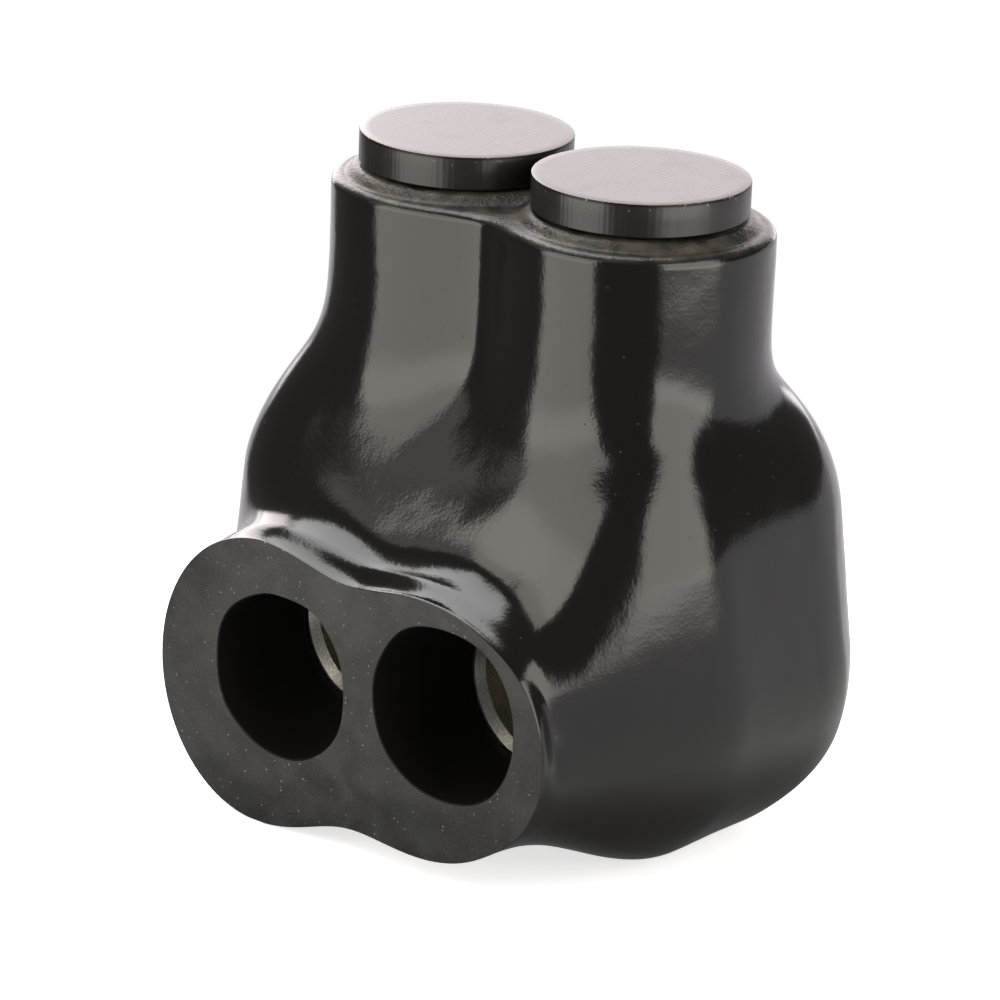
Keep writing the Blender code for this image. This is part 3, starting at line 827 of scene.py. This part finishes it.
@dataclass
class Jacket:
    """The dipped vinyl jacket, with its rim lips, cap seats, block pocket and cable passages."""

    layout: Layout
    skin: Skin
    levels: int = 4
    evening: int = 8
    settling: tuple = (6, 2)
    cage_growth: float = 1.1
    cage_reach: tuple = (0.75, 0.85)
    cage_rise: tuple = (1.6, 1.4)
    neck_steps: tuple = (0.25, 0.35, 0.28, 0.12)
    sleeve_steps: tuple = (0.5, 0.5)
    mouth_left: tuple = (-11.0 * MM, 18.2 * MM)
    mouth_left_radii: tuple = (9.6 * MM, 9.4 * MM)
    mouth_right: tuple = (13.1 * MM, 20.3 * MM)
    mouth_right_radii: tuple = (10.1 * MM, 9.8 * MM)
    mouth_squareness: float = 2.15
    mouth_wobble: float = 0.35 * MM
    mouth_waves: float = 1.6
    mouth_depth: float = 1.5 * MM
    sleeve_bore: float = 9.8 * MM
    trim_edge: float = 0.14 * MM
    edge_inset: float = 0.2 * MM
    held_edge: float = 3.0 * MM
    wave_depth: float = 0.07 * MM
    wave_size: float = 9.0 * MM
    small_waves: tuple = (2.7, 0.4)
    flat_fade: float = 1.5 * MM
    rim_fade: float = 3.0 * MM
    inner_depth: float = 0.35 * MM
    face_depth: float = 0.05 * MM
    crease: float = 32.0
    facets: int = 96

    def slice_at(self, form: Form, axis: int, places: Sequence[float]) -> None:
        """Adds loops across the cage at places on one axis."""
        normal = Vector(ORIGIN)
        normal[axis] = 1.0
        for place in places:
            slice_form(form, normal * place, normal)

    def draw_out(self, form: Form, faces: list, offset: Vector) -> list:
        """Extrudes a patch of the cage.

        Args:
            form: the cage.
            faces: the patch.
            offset: how far it moves.

        Returns:
            The patch at its new place.
        """
        moved = bmesh.ops.extrude_face_region(form, geom=faces)["geom"]
        bmesh.ops.translate(form, vec=offset,
                            verts=[part for part in moved if isinstance(part, bmesh.types.BMVert)])
        bmesh.ops.delete(form, geom=faces, context="FACES_KEEP_BOUNDARY")
        return [part for part in moved if isinstance(part, bmesh.types.BMFace)]

    def spread(self, faces: list, axis: int, left: tuple, right: tuple, radii: Sequence[float],
               blend: float) -> None:
        """Rounds a patch's border out to a two-lobed outline.

        Args:
            faces: the patch.
            axis: the outline's other axis, beside X.
            left: the left lobe's centre.
            right: the right lobe's centre.
            radii: the lobes' radii along X and the other axis.
            blend: how far the waist between the lobes is filled.
        """
        border = set()
        for face in faces:
            for edge in face.edges:
                if any(other not in faces for other in edge.link_faces):
                    border.update(edge.verts)
        radius = (radii[0] + radii[1]) / 2
        half_span = (right[0] - left[0]) / 2
        waist = math.sqrt((radius + blend / 6) ** 2 - half_span ** 2) / radius
        for vert in border:
            share = min(max((vert.co.x - left[0]) / (right[0] - left[0]), 0.0), 1.0)
            centre_x = left[0] + share * (right[0] - left[0])
            centre_other = left[1] + share * (right[1] - left[1])
            across = (vert.co.x - centre_x) / radii[0]
            along = (vert.co[axis] - centre_other) / radii[1]
            drawn_in = 1 - (1 - waist) * (1 - abs(2 * share - 1))
            size = math.hypot(across, along) / (self.cage_growth * drawn_in)
            vert.co.x = centre_x + across / size * radii[0]
            vert.co[axis] = centre_other + along / size * radii[1]

    @staticmethod
    def patch(form: Form, direction: Vector, reach: float, axis: int, low: float,
              high: float) -> list:
        """The cage's faces that look one way inside the given reach."""
        found = []
        for face in form.faces:
            centre = face.calc_center_median()
            if abs(centre.x) < reach and low < centre[axis] < high:
                if face.normal.dot(direction) > 0.99:
                    found.append(face)
        return found

    def cage(self) -> Form:
        """A coarse block with the necks drawn up and the sleeve drawn forward.

        Returns:
            The cage.
        """
        skin, layout = self.skin, self.layout
        form = bmesh.new()
        middle = Vector((0.0, (skin.body_back - skin.body_front) / 2, skin.middle))
        size = Matrix.Diagonal((skin.body_width, skin.body_front + skin.body_back,
                                2 * skin.half_height, 1.0))
        bmesh.ops.create_cube(form, size=1.0, matrix=Matrix.Translation(middle) @ size)
        column = layout.pitch / 2
        reach = column + skin.neck_radius * self.cage_reach[0]
        depth = skin.neck_radius * self.cage_reach[1]
        low = layout.port_height - layout.bore_radius * self.cage_rise[0]
        high = layout.port_height + layout.bore_radius * self.cage_rise[1]
        self.slice_at(form, 0, (-reach, -column, 0.0, column, reach))
        self.slice_at(form, 1, (-depth, 0.0, depth))
        self.slice_at(form, 2, (low, layout.port_height, high, (high + skin.body_top) / 2))
        form.normal_update()

        up = Vector(UP)
        necks = self.patch(form, up, reach, 1, -depth, depth)
        for share in self.neck_steps:
            necks = self.draw_out(form, necks, up * (layout.rim_height - skin.body_top) * share)
            self.spread(necks, 1, (-column, 0.0), (column, 0.0),
                        (skin.neck_radius, skin.neck_radius), skin.groove_blend)
        bmesh.ops.inset_region(form, faces=necks, thickness=2 * skin.rim_round,
                               use_even_offset=True)

        form.normal_update()
        forward = Vector((0.0, -1.0, 0.0))
        sleeve = self.patch(form, forward, reach, 2, low, high)
        radii = [(a + b) / 2 for a, b in zip(skin.lobe_left_radii, skin.lobe_right_radii)]
        for share in self.sleeve_steps:
            sleeve = self.draw_out(form, sleeve,
                                   forward * (skin.sleeve_face - skin.body_front) * share)
            self.spread(sleeve, 2, skin.lobe_left, skin.lobe_right, radii, skin.waist_blend)
        crease = form.edges.layers.float.new("crease_edge")
        for face in sleeve:
            for edge in face.edges:
                if any(other not in sleeve for other in edge.link_faces):
                    edge[crease] = 1.0
        bmesh.ops.recalc_face_normals(form, faces=form.faces[:])
        return form

    def fine_skin(self) -> Form:
        """The outer form in fine faces, with its flat underside and soft unevenness.

        Returns:
            The closed form.
        """
        coarse = to_object("jacket_cage", self.cage(), [])
        rounding = coarse.modifiers.new("Rounding", "SUBSURF")
        rounding.levels = rounding.render_levels = self.levels
        apply_modifiers(coarse)
        form = bmesh.new()
        form.from_mesh(coarse.data)
        bpy.data.objects.remove(coarse)
        self.flatten(form, self.at_face)
        verts = list(form.verts)
        on_face = [self.at_face(vert.co) for vert in verts]
        held = np.array([(False, fixed, False) for fixed in on_face])
        free = [vert for vert, fixed in zip(verts, on_face) if not fixed]
        foremost = self.edge_inset - self.skin.sleeve_face
        # The form settles, is evened out a few times and settles again.
        for turn in range(self.evening + 2):
            evened = 0 < turn <= self.evening
            if evened:
                bmesh.ops.smooth_vert(form, verts=free, factor=0.5, use_axis_x=True,
                                      use_axis_y=True, use_axis_z=True)
            self.skin.settle(verts, held, self.settling[evened])
            for vert in free:
                vert.co.y = max(vert.co.y, foremost)
        seat = self.layout.rim_height + self.layout.rim_drop
        self.flatten(form, lambda point: abs(point.z - seat) < HAIR)
        self.trim_underside(form)
        self.make_uneven(form)
        return form

    def at_face(self, point: Vector) -> bool:
        """Whether a point lies in the sleeve's cut face."""
        return point.y < HAIR - self.skin.sleeve_face

    @staticmethod
    def flatten(form: Form, inside: Callable[[Vector], bool]) -> None:
        """Joins the faces of a flat region into one face."""
        flat = [face for face in form.faces if all(inside(vert.co) for vert in face.verts)]
        bmesh.ops.dissolve_faces(form, faces=flat, use_verts=True)

    def trim_underside(self, form: Form) -> None:
        """Trims the round underside to a flat at the origin's height, up to the cut face."""
        slice_form(form, ORIGIN, DOWN, drop=True)
        border = [edge for edge in form.edges if edge.is_boundary]
        verts = [vert for vert in {vert for edge in border for vert in edge.verts}
                 if vert.co.y > self.held_edge - self.skin.sleeve_face]
        self.skin.settle(verts, np.array([(False, False, True)] * len(verts)))
        bmesh.ops.holes_fill(form, edges=border)
        bmesh.ops.recalc_face_normals(form, faces=form.faces[:])

    def make_uneven(self, form: Form) -> None:
        """Gives the skin the slow waves of a thick dip, fading out at its flat ends."""
        form.normal_update()
        finer, share = self.small_waves
        moves = []
        for vert in form.verts:
            place = vert.co / self.wave_size
            slow = noise.noise(place) + share * noise.noise(place * finer)
            fade = min(1.0, abs(vert.co.y + self.skin.sleeve_face) / self.flat_fade)
            fade *= min(1.0, abs(vert.co.z) / self.flat_fade)
            fade *= min(1.0, abs(vert.co.z - self.layout.rim_height) / self.rim_fade)
            moves.append(vert.normal * (slow * self.wave_depth * fade))
        for vert, move in zip(form.verts, moves):
            vert.co += move

    def passage(self, side: Side) -> Piece:
        """Tool shape of one cable passage, from its oval mouth to the round bore.

        Args:
            side: which port.

        Returns:
            The tool.
        """
        skin, layout = self.skin, self.layout
        mouth, radii = ((self.mouth_left, self.mouth_left_radii) if side is Side.LEFT
                        else (self.mouth_right, self.mouth_right_radii))
        broken, over = self.trim_edge, 2 * MM
        end = (layout.axis(side), layout.port_height)
        sections = [
            (-skin.sleeve_face - over, mouth, [radius + broken + over for radius in radii]),
            (-skin.sleeve_face + broken, mouth, radii),
            (-skin.sleeve_face + self.mouth_depth, mouth, radii),
            (-layout.block_front + layout.clearance, end, (self.sleeve_bore, self.sleeve_bore)),
        ]
        upright = Matrix.Rotation(QUARTER_TURN, 4, "X")
        form = bmesh.new()
        loops = []
        for number, (y, centre, size) in enumerate(sections):
            place = Matrix.Translation((centre[0], y, centre[1]))
            stretch = Matrix.Diagonal((size[0], 1.0, size[1], 1.0))
            ring = bmesh.ops.create_circle(form, cap_ends=number in (0, len(sections) - 1),
                                           segments=self.facets, radius=1.0,
                                           matrix=place @ stretch @ upright)["verts"]
            if size[0] != size[1]:
                for vert in ring:
                    across = (vert.co.x - centre[0]) / size[0]
                    up = (vert.co.z - centre[1]) / size[1]
                    power, waves = self.mouth_squareness, self.mouth_waves
                    full = (abs(across) ** power + abs(up) ** power) ** (-1 / power)
                    uneven = noise.noise((waves * across, waves * up, side.value))
                    full += uneven * self.mouth_wobble / size[0]
                    vert.co.x = centre[0] + across * full * size[0]
                    vert.co.z = centre[1] + up * full * size[1]
            members = set(ring)
            loops.append([edge for edge in form.edges if set(edge.verts) <= members])
        for first, second in zip(loops, loops[1:]):
            bmesh.ops.bridge_loops(form, edges=first + second)
        bmesh.ops.recalc_face_normals(form, faces=form.faces[:])
        return to_object(f"passage_{side.label}", form, [])

    def tools(self) -> list[Piece]:
        """The shapes that are cut out of the skin.

        Returns:
            The pocket, neck bores and passages.
        """
        layout = self.layout
        gap = layout.clearance
        cuts = [to_object("pocket", layout.block_form(gap), [])]
        for side in Side:
            foot = Vector((layout.axis(side), 0.0, 0.0))
            cuts.append(to_object(f"neck_bore_{side.label}", turned_form(
                [(0.0, layout.cap_top), (layout.neck_bore, layout.cap_top),
                 (layout.neck_bore, layout.block_top - gap), (0.0, layout.block_top - gap)],
                self.facets, foot), []))
            cuts.append(self.passage(side))
        return cuts

    def build(self, dipped: bpy.types.Material, trimmed: bpy.types.Material,
              shaded_inside: bpy.types.Material) -> Piece:
        """Builds the whole jacket.

        Args:
            dipped: the finish of the outer skin.
            trimmed: the finish of the cut face.
            shaded_inside: the darker finish of the inner walls, painted shade.

        Returns:
            The jacket.
        """
        form = self.fine_skin()
        face = max((side for side in form.faces if all(self.at_face(v.co) for v in side.verts)),
                   key=lambda side: side.calc_area())
        bmesh.ops.bevel(form, geom=list(face.edges), offset=self.trim_edge, offset_type="OFFSET",
                        affect="EDGES", segments=2, profile=0.5, material=-1, clamp_overlap=True)
        jacket = to_object("dipped_jacket", form, [dipped, trimmed])
        cut(jacket, self.tools())
        mesh = jacket.data
        centres = np.zeros(len(mesh.polygons) * 3)
        mesh.polygons.foreach_get("center", centres)
        centres = centres.reshape(-1, 3)
        # Faces deep inside the skin, in the bores, passages and pocket, take the darker inside
        # finish: painted shade.
        inside = self.skin.distance(centres) < -self.inner_depth
        flat = centres[:, 1] < -self.skin.sleeve_face + self.face_depth
        finish = np.where(flat, 1, np.where(inside, 2, 0)).astype(np.int32)
        mesh.materials.clear()
        for material in (dipped, trimmed, shaded_inside):
            mesh.materials.append(material)
        mesh.polygons.foreach_set("material_index", finish)
        smooth(mesh, self.crease)
        return jacket


# ---- Metal inside, and the caps ----

@dataclass
class Block:
    """The aluminium block, bored for the cables from the front and for the screws from above."""

    layout: Layout
    facets: int = 96

    def build(self, metal: bpy.types.Material) -> Piece:
        """Builds the block.

        Args:
            metal: its finish.

        Returns:
            The block.
        """
        layout = self.layout
        block = to_object("aluminium_block", layout.block_form(), [metal])
        over = OVERSHOOT
        tools = []
        for side in Side:
            foot = Vector((layout.axis(side), 0.0, 0.0))
            depth = layout.block_front + layout.block_back - layout.bore_end_wall
            mouth = layout.bore_radius + layout.bore_chamfer + over
            bore = turned_form([(0.0, over), (mouth, over), (layout.bore_radius,
                                                             -layout.bore_chamfer),
                                (layout.bore_radius, -depth), (0.0, -depth)], self.facets)
            bmesh.ops.rotate(bore, verts=bore.verts[:], cent=ORIGIN,
                             matrix=Matrix.Rotation(QUARTER_TURN, 3, "X"))
            bmesh.ops.translate(bore, verts=bore.verts[:],
                                vec=(foot.x, -layout.block_front, layout.port_height))
            tools.append(to_object(f"bore_{side.label}", bore, []))
            hole = layout.screw_radius + layout.clearance
            tools.append(to_object(f"hole_{side.label}", turned_form(
                [(0.0, layout.block_top + over),
                 (hole + layout.bore_chamfer + over, layout.block_top + over),
                 (hole, layout.block_top - layout.bore_chamfer), (hole, layout.port_height),
                 (0.0, layout.port_height)], self.facets, foot), []))
        cut(block, tools)
        smooth(block.data, METAL_CREASE)
        return block


@dataclass
class ClampScrew:
    """A headless clamp screw with a hexagon socket and a fine thread."""

    layout: Layout
    side: Side
    pitch: float = 1.41 * MM
    thread_depth: float = 0.8 * MM
    chamfer: float = 1.1 * MM
    socket_width: float = 7.94 * MM
    socket_depth: float = 9.5 * MM
    facets: int = 48

    def threaded_form(self) -> Form:
        """The threaded cylinder, trimmed flat at both ends.

        Returns:
            The closed form, standing on the origin.
        """
        layout = self.layout
        turns = int(layout.screw_length / self.pitch) + 3
        root = layout.screw_radius - self.thread_depth
        profile = ((root, 0.0), (root, 0.12), (layout.screw_radius, 0.46),
                   (layout.screw_radius, 0.6), (root, 0.94), (root, 1.0))
        form = bmesh.new()
        verts = [form.verts.new((radius, 0.0, (share - 1.5) * self.pitch))
                 for radius, share in profile]
        edges = [form.edges.new(pair) for pair in zip(verts, verts[1:])]
        bmesh.ops.spin(form, geom=verts + edges, cent=ORIGIN, axis=UP,
                       dvec=(0.0, 0.0, self.pitch / self.facets), angle=FULL_TURN * turns,
                       steps=self.facets * turns, use_merge=False)
        bmesh.ops.remove_doubles(form, verts=form.verts[:], dist=HAIR)
        slice_form(form, ORIGIN, DOWN, drop=True)
        slice_form(form, (0.0, 0.0, layout.screw_length), UP, drop=True)
        bmesh.ops.holes_fill(form, edges=[edge for edge in form.edges if edge.is_boundary])
        bmesh.ops.recalc_face_normals(form, faces=form.faces[:])
        return form

    def build(self, metal: bpy.types.Material) -> Piece:
        """Builds the screw where it waits, backed out of its port.

        Args:
            metal: its finish.

        Returns:
            The screw.
        """
        layout = self.layout
        form = self.threaded_form()
        foot = Vector((layout.axis(self.side), 0.0, layout.screw_base))
        bmesh.ops.translate(form, verts=form.verts[:], vec=foot)
        screw = to_object(f"clamp_screw_{self.side.label}", form, [metal])
        over = OVERSHOOT
        inside = layout.screw_radius - self.chamfer
        outside = layout.screw_radius + over
        ends = turned_form([(0.0, layout.screw_length), (inside, layout.screw_length),
                            (layout.screw_radius, layout.screw_length - self.chamfer),
                            (outside, layout.screw_length - self.chamfer - over),
                            (outside, self.chamfer + over), (layout.screw_radius, self.chamfer),
                            (inside, 0.0), (0.0, 0.0)], self.facets, foot)
        cut(screw, [to_object("screw_ends", ends, [])], "INTERSECT")
        corner = self.socket_width / math.sqrt(3)
        socket = bmesh.new()
        middle = foot + Vector((0.0, 0.0, layout.screw_length - (self.socket_depth - over) / 2))
        bmesh.ops.create_cone(socket, cap_ends=True, segments=6, radius1=corner, radius2=corner,
                              depth=self.socket_depth + over,
                              matrix=Matrix.Translation(middle))
        lead = turned_form([(0.0, layout.screw_length + over),
                            (corner + 1.5 * over, layout.screw_length + over),
                            (corner - over, layout.screw_length - 1.5 * over),
                            (0.0, layout.screw_length - 1.5 * over)], self.facets, foot)
        cut(screw, [to_object("socket", socket, []), to_object("lead", lead, [])])
        smooth(screw.data, METAL_CREASE)
        return screw


@dataclass
class PlugCap:
    """A flat sawn disc on a stem that fills the neck's bore."""

    layout: Layout
    side: Side
    radius: float = 12.1 * MM
    edge: float = 0.16 * MM
    stem_length: float = 9.0 * MM
    stem_lead: float = 1.0 * MM
    burr: float = 0.05 * MM
    burr_waves: tuple = (900.0, 2600.0)
    burr_share: float = 0.6
    burred: float = 0.95
    facets: int = 192

    def build(self, vinyl: bpy.types.Material) -> Piece:
        """Builds the cap.

        Args:
            vinyl: its finish.

        Returns:
            The cap.
        """
        layout = self.layout
        top = layout.cap_top
        under = top - layout.cap_thickness
        stem = layout.neck_bore - layout.clearance
        end = under - self.stem_length
        profile = [(0.0, top), (self.radius * 0.5, top), (self.radius * 0.9, top),
                   (self.radius - self.edge, top), (self.radius - 0.3 * self.edge,
                                                    top - 0.3 * self.edge),
                   (self.radius, top - self.edge), (self.radius, (top + under) / 2),
                   (self.radius, under + self.edge), (self.radius - self.edge, under),
                   (stem, under), (stem, end + self.stem_lead), (stem - self.stem_lead, end),
                   (0.0, end)]
        form = turned_form(profile, self.facets, Vector((layout.axis(self.side), 0.0, 0.0)))
        for vert in form.verts:
            away = Vector((vert.co.x - layout.axis(self.side), vert.co.y, 0.0))
            if away.length > self.radius * self.burred:
                slow, fast = (noise.noise(vert.co * waves) for waves in self.burr_waves)
                rough = slow + self.burr_share * fast
                vert.co -= away.normalized() * abs(rough) * self.burr
        return to_object(f"plug_cap_{self.side.label}", form, [vinyl], crease=40)


# ---- Studio ----

@dataclass(frozen=True)
class Softbox:
    """A soft lamp that fades towards its edges.

    Attributes:
        name: what the lamp is called.
        place: its middle.
        target: the point that it faces.
        width: its size across.
        height: its size upwards.
        brightness: the radiance of its middle.
        colour: its tint.
        edge: the share of its size over which each edge fades.
        turn: its turn about the facing axis, in degrees.
        hot: how much brighter a level band through its middle is, as where the tube sits.
    """

    name: str
    place: tuple[float, float, float]
    target: tuple[float, float, float]
    width: float
    height: float
    brightness: float
    colour: str = "FFFFFF"
    edge: float = 0.04
    turn: float = 0.0
    hot: float = 0.0
    band: tuple = (0.22, 0.06)

    def shade(self, lamp: bpy.types.AreaLight) -> None:
        """Gives the lamp its soft edges and its brighter band.

        Args:
            lamp: the lamp.
        """
        lamp.use_nodes = True
        wiring = Wiring(lamp.node_tree)
        spot = wiring.add("SeparateXYZ", {0: wiring.add("NewGeometry").outputs["Parametric"]})
        away, falls = {}, []
        for axis in ("X", "Y"):
            centred = wiring.add("Math", {0: spot.outputs[axis], 1: 0.5}, operation="SUBTRACT")
            away[axis] = wiring.add("Math", {0: centred.outputs[0]},
                                    operation="ABSOLUTE").outputs[0]
            falls.append(wiring.remap(away[axis], 0.5, 0.5 - self.edge, curve="SMOOTHSTEP"))
        tube = wiring.remap(away["Y"], *self.band, 1.0, 1.0 + self.hot, "SMOOTHSTEP")
        level = wiring.product(wiring.product(*falls), tube)
        wiring.surface(wiring.add("Emission", {"Strength": level}), "Light")

    def build(self) -> Piece:
        """Makes the lamp.

        Returns:
            The lamp.
        """
        lamp = bpy.data.lights.new(self.name, "AREA")
        lamp.shape = "RECTANGLE"
        lamp.size, lamp.size_y = self.width, self.height
        lamp.energy = self.brightness * math.pi * self.width * self.height
        lamp.color = linear(self.colour)[:3]
        self.shade(lamp)
        made = bpy.data.objects.new(self.name, lamp)
        set_up(made, self.place, self.target, self.turn)
        made.visible_camera = False
        return made


@dataclass
class Studio:
    """Camera, floor, backdrop and lamps."""

    camera_place: tuple = (0.36670, -0.43837, 0.23005)
    aim: tuple = (-0.00090, -0.00579, 0.03576)
    roll: float = 2.175
    lens: float = 192.24
    sweep_centre: float = 156.0
    sweep_side: tuple = (-0.15, -0.05)
    sweep_top: tuple = (0.1, 0.04)
    sweep_glow: tuple = (0.12, 0.88)
    sweep_colour: str = "FBF8FC"
    white: str = "FFFFFF"
    floor_colour: str = "E8E8E8"
    floor_radius: float = 0.13
    floor_gap: float = 0.1 * MM
    floor_lift: float = 0.7
    floor_fade: tuple = (0.55, 0.95)
    floor_in_gloss: tuple = (0.12, 0.85)
    shaded_reach: tuple = (28.0 * MM, 62.0 * MM)
    lamps: tuple = (
        Softbox("front softbox", (-0.039, -0.1266, 0.089), (-0.039, 0.0, 0.089), 0.134, 0.178,
                2.8, "FFFCF0", edge=0.05, hot=0.35),
        Softbox("side softbox", (0.1625, -0.019, 0.1225), (0.0, -0.019, 0.1225), 0.165, 0.21,
                3.4, "FFFAEE", edge=0.14),
        Softbox("front reflector", (-0.133, -0.1266, 0.16), (-0.133, 0.0, 0.16), 0.056, 0.09, 1.0,
                "FFFCF0", edge=0.3),
        Softbox("top softbox", (-0.136, 0.062, 0.3), (-0.136, 0.062, 0.0), 0.33, 0.24, 4.8,
                edge=0.12, turn=-50.0),
        Softbox("rear softbox", (-0.22, 0.262, 0.19), (0.0, 0.0, 0.19), 0.5, 0.36, 2.6,
                "FFF6F6", edge=0.1),
        Softbox("left rear softbox", (-0.3, 0.16, 0.17), (0.0, 0.0, 0.06), 0.2, 0.2, 3.0,
                "FFF6F6", edge=0.15),
    )

    def camera(self) -> None:
        """Puts the camera at the photograph's viewpoint."""
        view = bpy.data.cameras.new("camera")
        view.lens = self.lens
        view.sensor_width = 36.0
        view.clip_start, view.clip_end = 0.05, 5.0
        made = bpy.data.objects.new("camera", view)
        set_up(made, self.camera_place, self.aim, self.roll)
        bpy.context.scene.camera = made

    def world(self) -> None:
        """A dark room with a white sweep behind the object, plain white to the camera."""
        world = bpy.data.worlds.new("studio")
        bpy.context.scene.world = world
        world.use_nodes = True
        wiring = Wiring(world.node_tree)
        ray = wiring.add("TexCoord").outputs["Generated"]
        level = wiring.add("VectorMath", {0: ray, 1: (1.0, 1.0, 0.0)}, operation="MULTIPLY")
        flat = wiring.add("VectorMath", {0: level.outputs[0]}, operation="NORMALIZE")
        centre = math.radians(self.sweep_centre)
        behind = wiring.add("VectorMath", {
            0: flat.outputs[0], 1: (math.sin(centre), -math.cos(centre), 0.0)},
            operation="DOT_PRODUCT").outputs["Value"]
        sweep = wiring.product(wiring.remap(behind, *self.sweep_side),
                               wiring.remap(wiring.height(ray), *self.sweep_top))
        room = wiring.add("Background", {"Color": linear(self.sweep_colour), "Strength":
                                         wiring.remap(sweep, 0.0, 1.0, *self.sweep_glow)})
        plain = wiring.add("Background", {"Color": linear(self.white), "Strength": 1.0})
        seen = wiring.add("LightPath").outputs["Is Camera Ray"]
        wiring.surface(wiring.add("MixShader", {0: seen, 1: room.outputs[0],
                                                2: plain.outputs[0]}), "World")

    def floor(self) -> None:
        """A small round white table top, which keeps a soft shadow and fades to white."""
        material = bpy.data.materials.new("white laminate")
        material.use_nodes = True
        wiring = Wiring(material.node_tree)
        place = wiring.add("TexCoord").outputs["Object"]
        reach = wiring.add("VectorMath", {0: place}, operation="LENGTH").outputs["Value"]

        def glow(strength: float | Plug) -> Plug:
            """White light of its own."""
            return wiring.add("Emission", {"Color": linear(self.white),
                                           "Strength": strength}).outputs[0]

        lit = wiring.add("BsdfDiffuse", {"Color": linear(self.floor_colour)})
        near = wiring.add("AddShader", {0: lit.outputs[0], 1: glow(self.floor_lift)})
        edge = wiring.remap(reach, *(share * self.floor_radius for share in self.floor_fade))
        fade = wiring.add("MixShader", {0: edge, 1: near.outputs[0], 2: glow(1.0)})
        # Reflections see the table get darker under the object, which shades it.
        shaded = wiring.remap(reach, *self.shaded_reach, *self.floor_in_gloss, "SMOOTHERSTEP")
        path = wiring.add("LightPath").outputs["Is Glossy Ray"]
        wiring.surface(wiring.add("MixShader", {0: path, 1: fade.outputs[0], 2: glow(shaded)}))
        form = bmesh.new()
        bmesh.ops.create_circle(form, cap_ends=True, segments=96, radius=self.floor_radius)
        bmesh.ops.translate(form, verts=form.verts[:], vec=(0.0, 0.0, -self.floor_gap))
        to_object("table_top", form, [material])

    def build(self) -> None:
        """Sets up the whole studio."""
        bpy.context.scene.view_settings.view_transform = "Standard"
        self.camera()
        self.world()
        self.floor()
        for lamp in self.lamps:
            lamp.build()


@dataclass
class Connector:
    """The whole connector: jacket, block, screws and caps."""

    layout: Layout = field(default_factory=Layout)

    def place(self, piece: Piece, body: Body, node: str, slot: Slot) -> None:
        """Puts a piece on its body, in place of the plain solid.

        Args:
            piece: the finished piece.
            body: what it moves with.
            node: the solid that it stands for.
            slot: the record's material slot; not used.
        """
        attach(piece, body.value)
        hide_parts(node)
        LOG.info("%s: %d faces", piece.name, len(piece.data.polygons))

    def build(self) -> None:
        """Builds and dresses every piece."""
        layout = self.layout
        metal = MachinedAluminium().build()
        cap_vinyl = SawnCap().build()
        jacket = Jacket(layout, Skin(layout)).build(DippedVinyl().build(), CutVinyl().build(),
                                                    ShadedInsideVinyl().build())
        self.place(jacket, Body.HOUSING, "insulation_jacket", Slot.VINYL)
        self.place(Block(layout).build(metal), Body.HOUSING, "connector_block", Slot.ALUMINIUM)
        for side in Side:
            self.place(ClampScrew(layout, side).build(metal), Body(f"{side.label}_screw"),
                       f"set_screw_{side.label}", Slot.ALUMINIUM)
            self.place(PlugCap(layout, side).build(cap_vinyl), Body(f"{side.label}_cap"),
                       f"cap_{side.label}", Slot.CAP)


def main() -> None:
    """Builds the connector and the studio."""
    Connector().build()
    Studio().build()


if __name__ == "__main__":
    main()
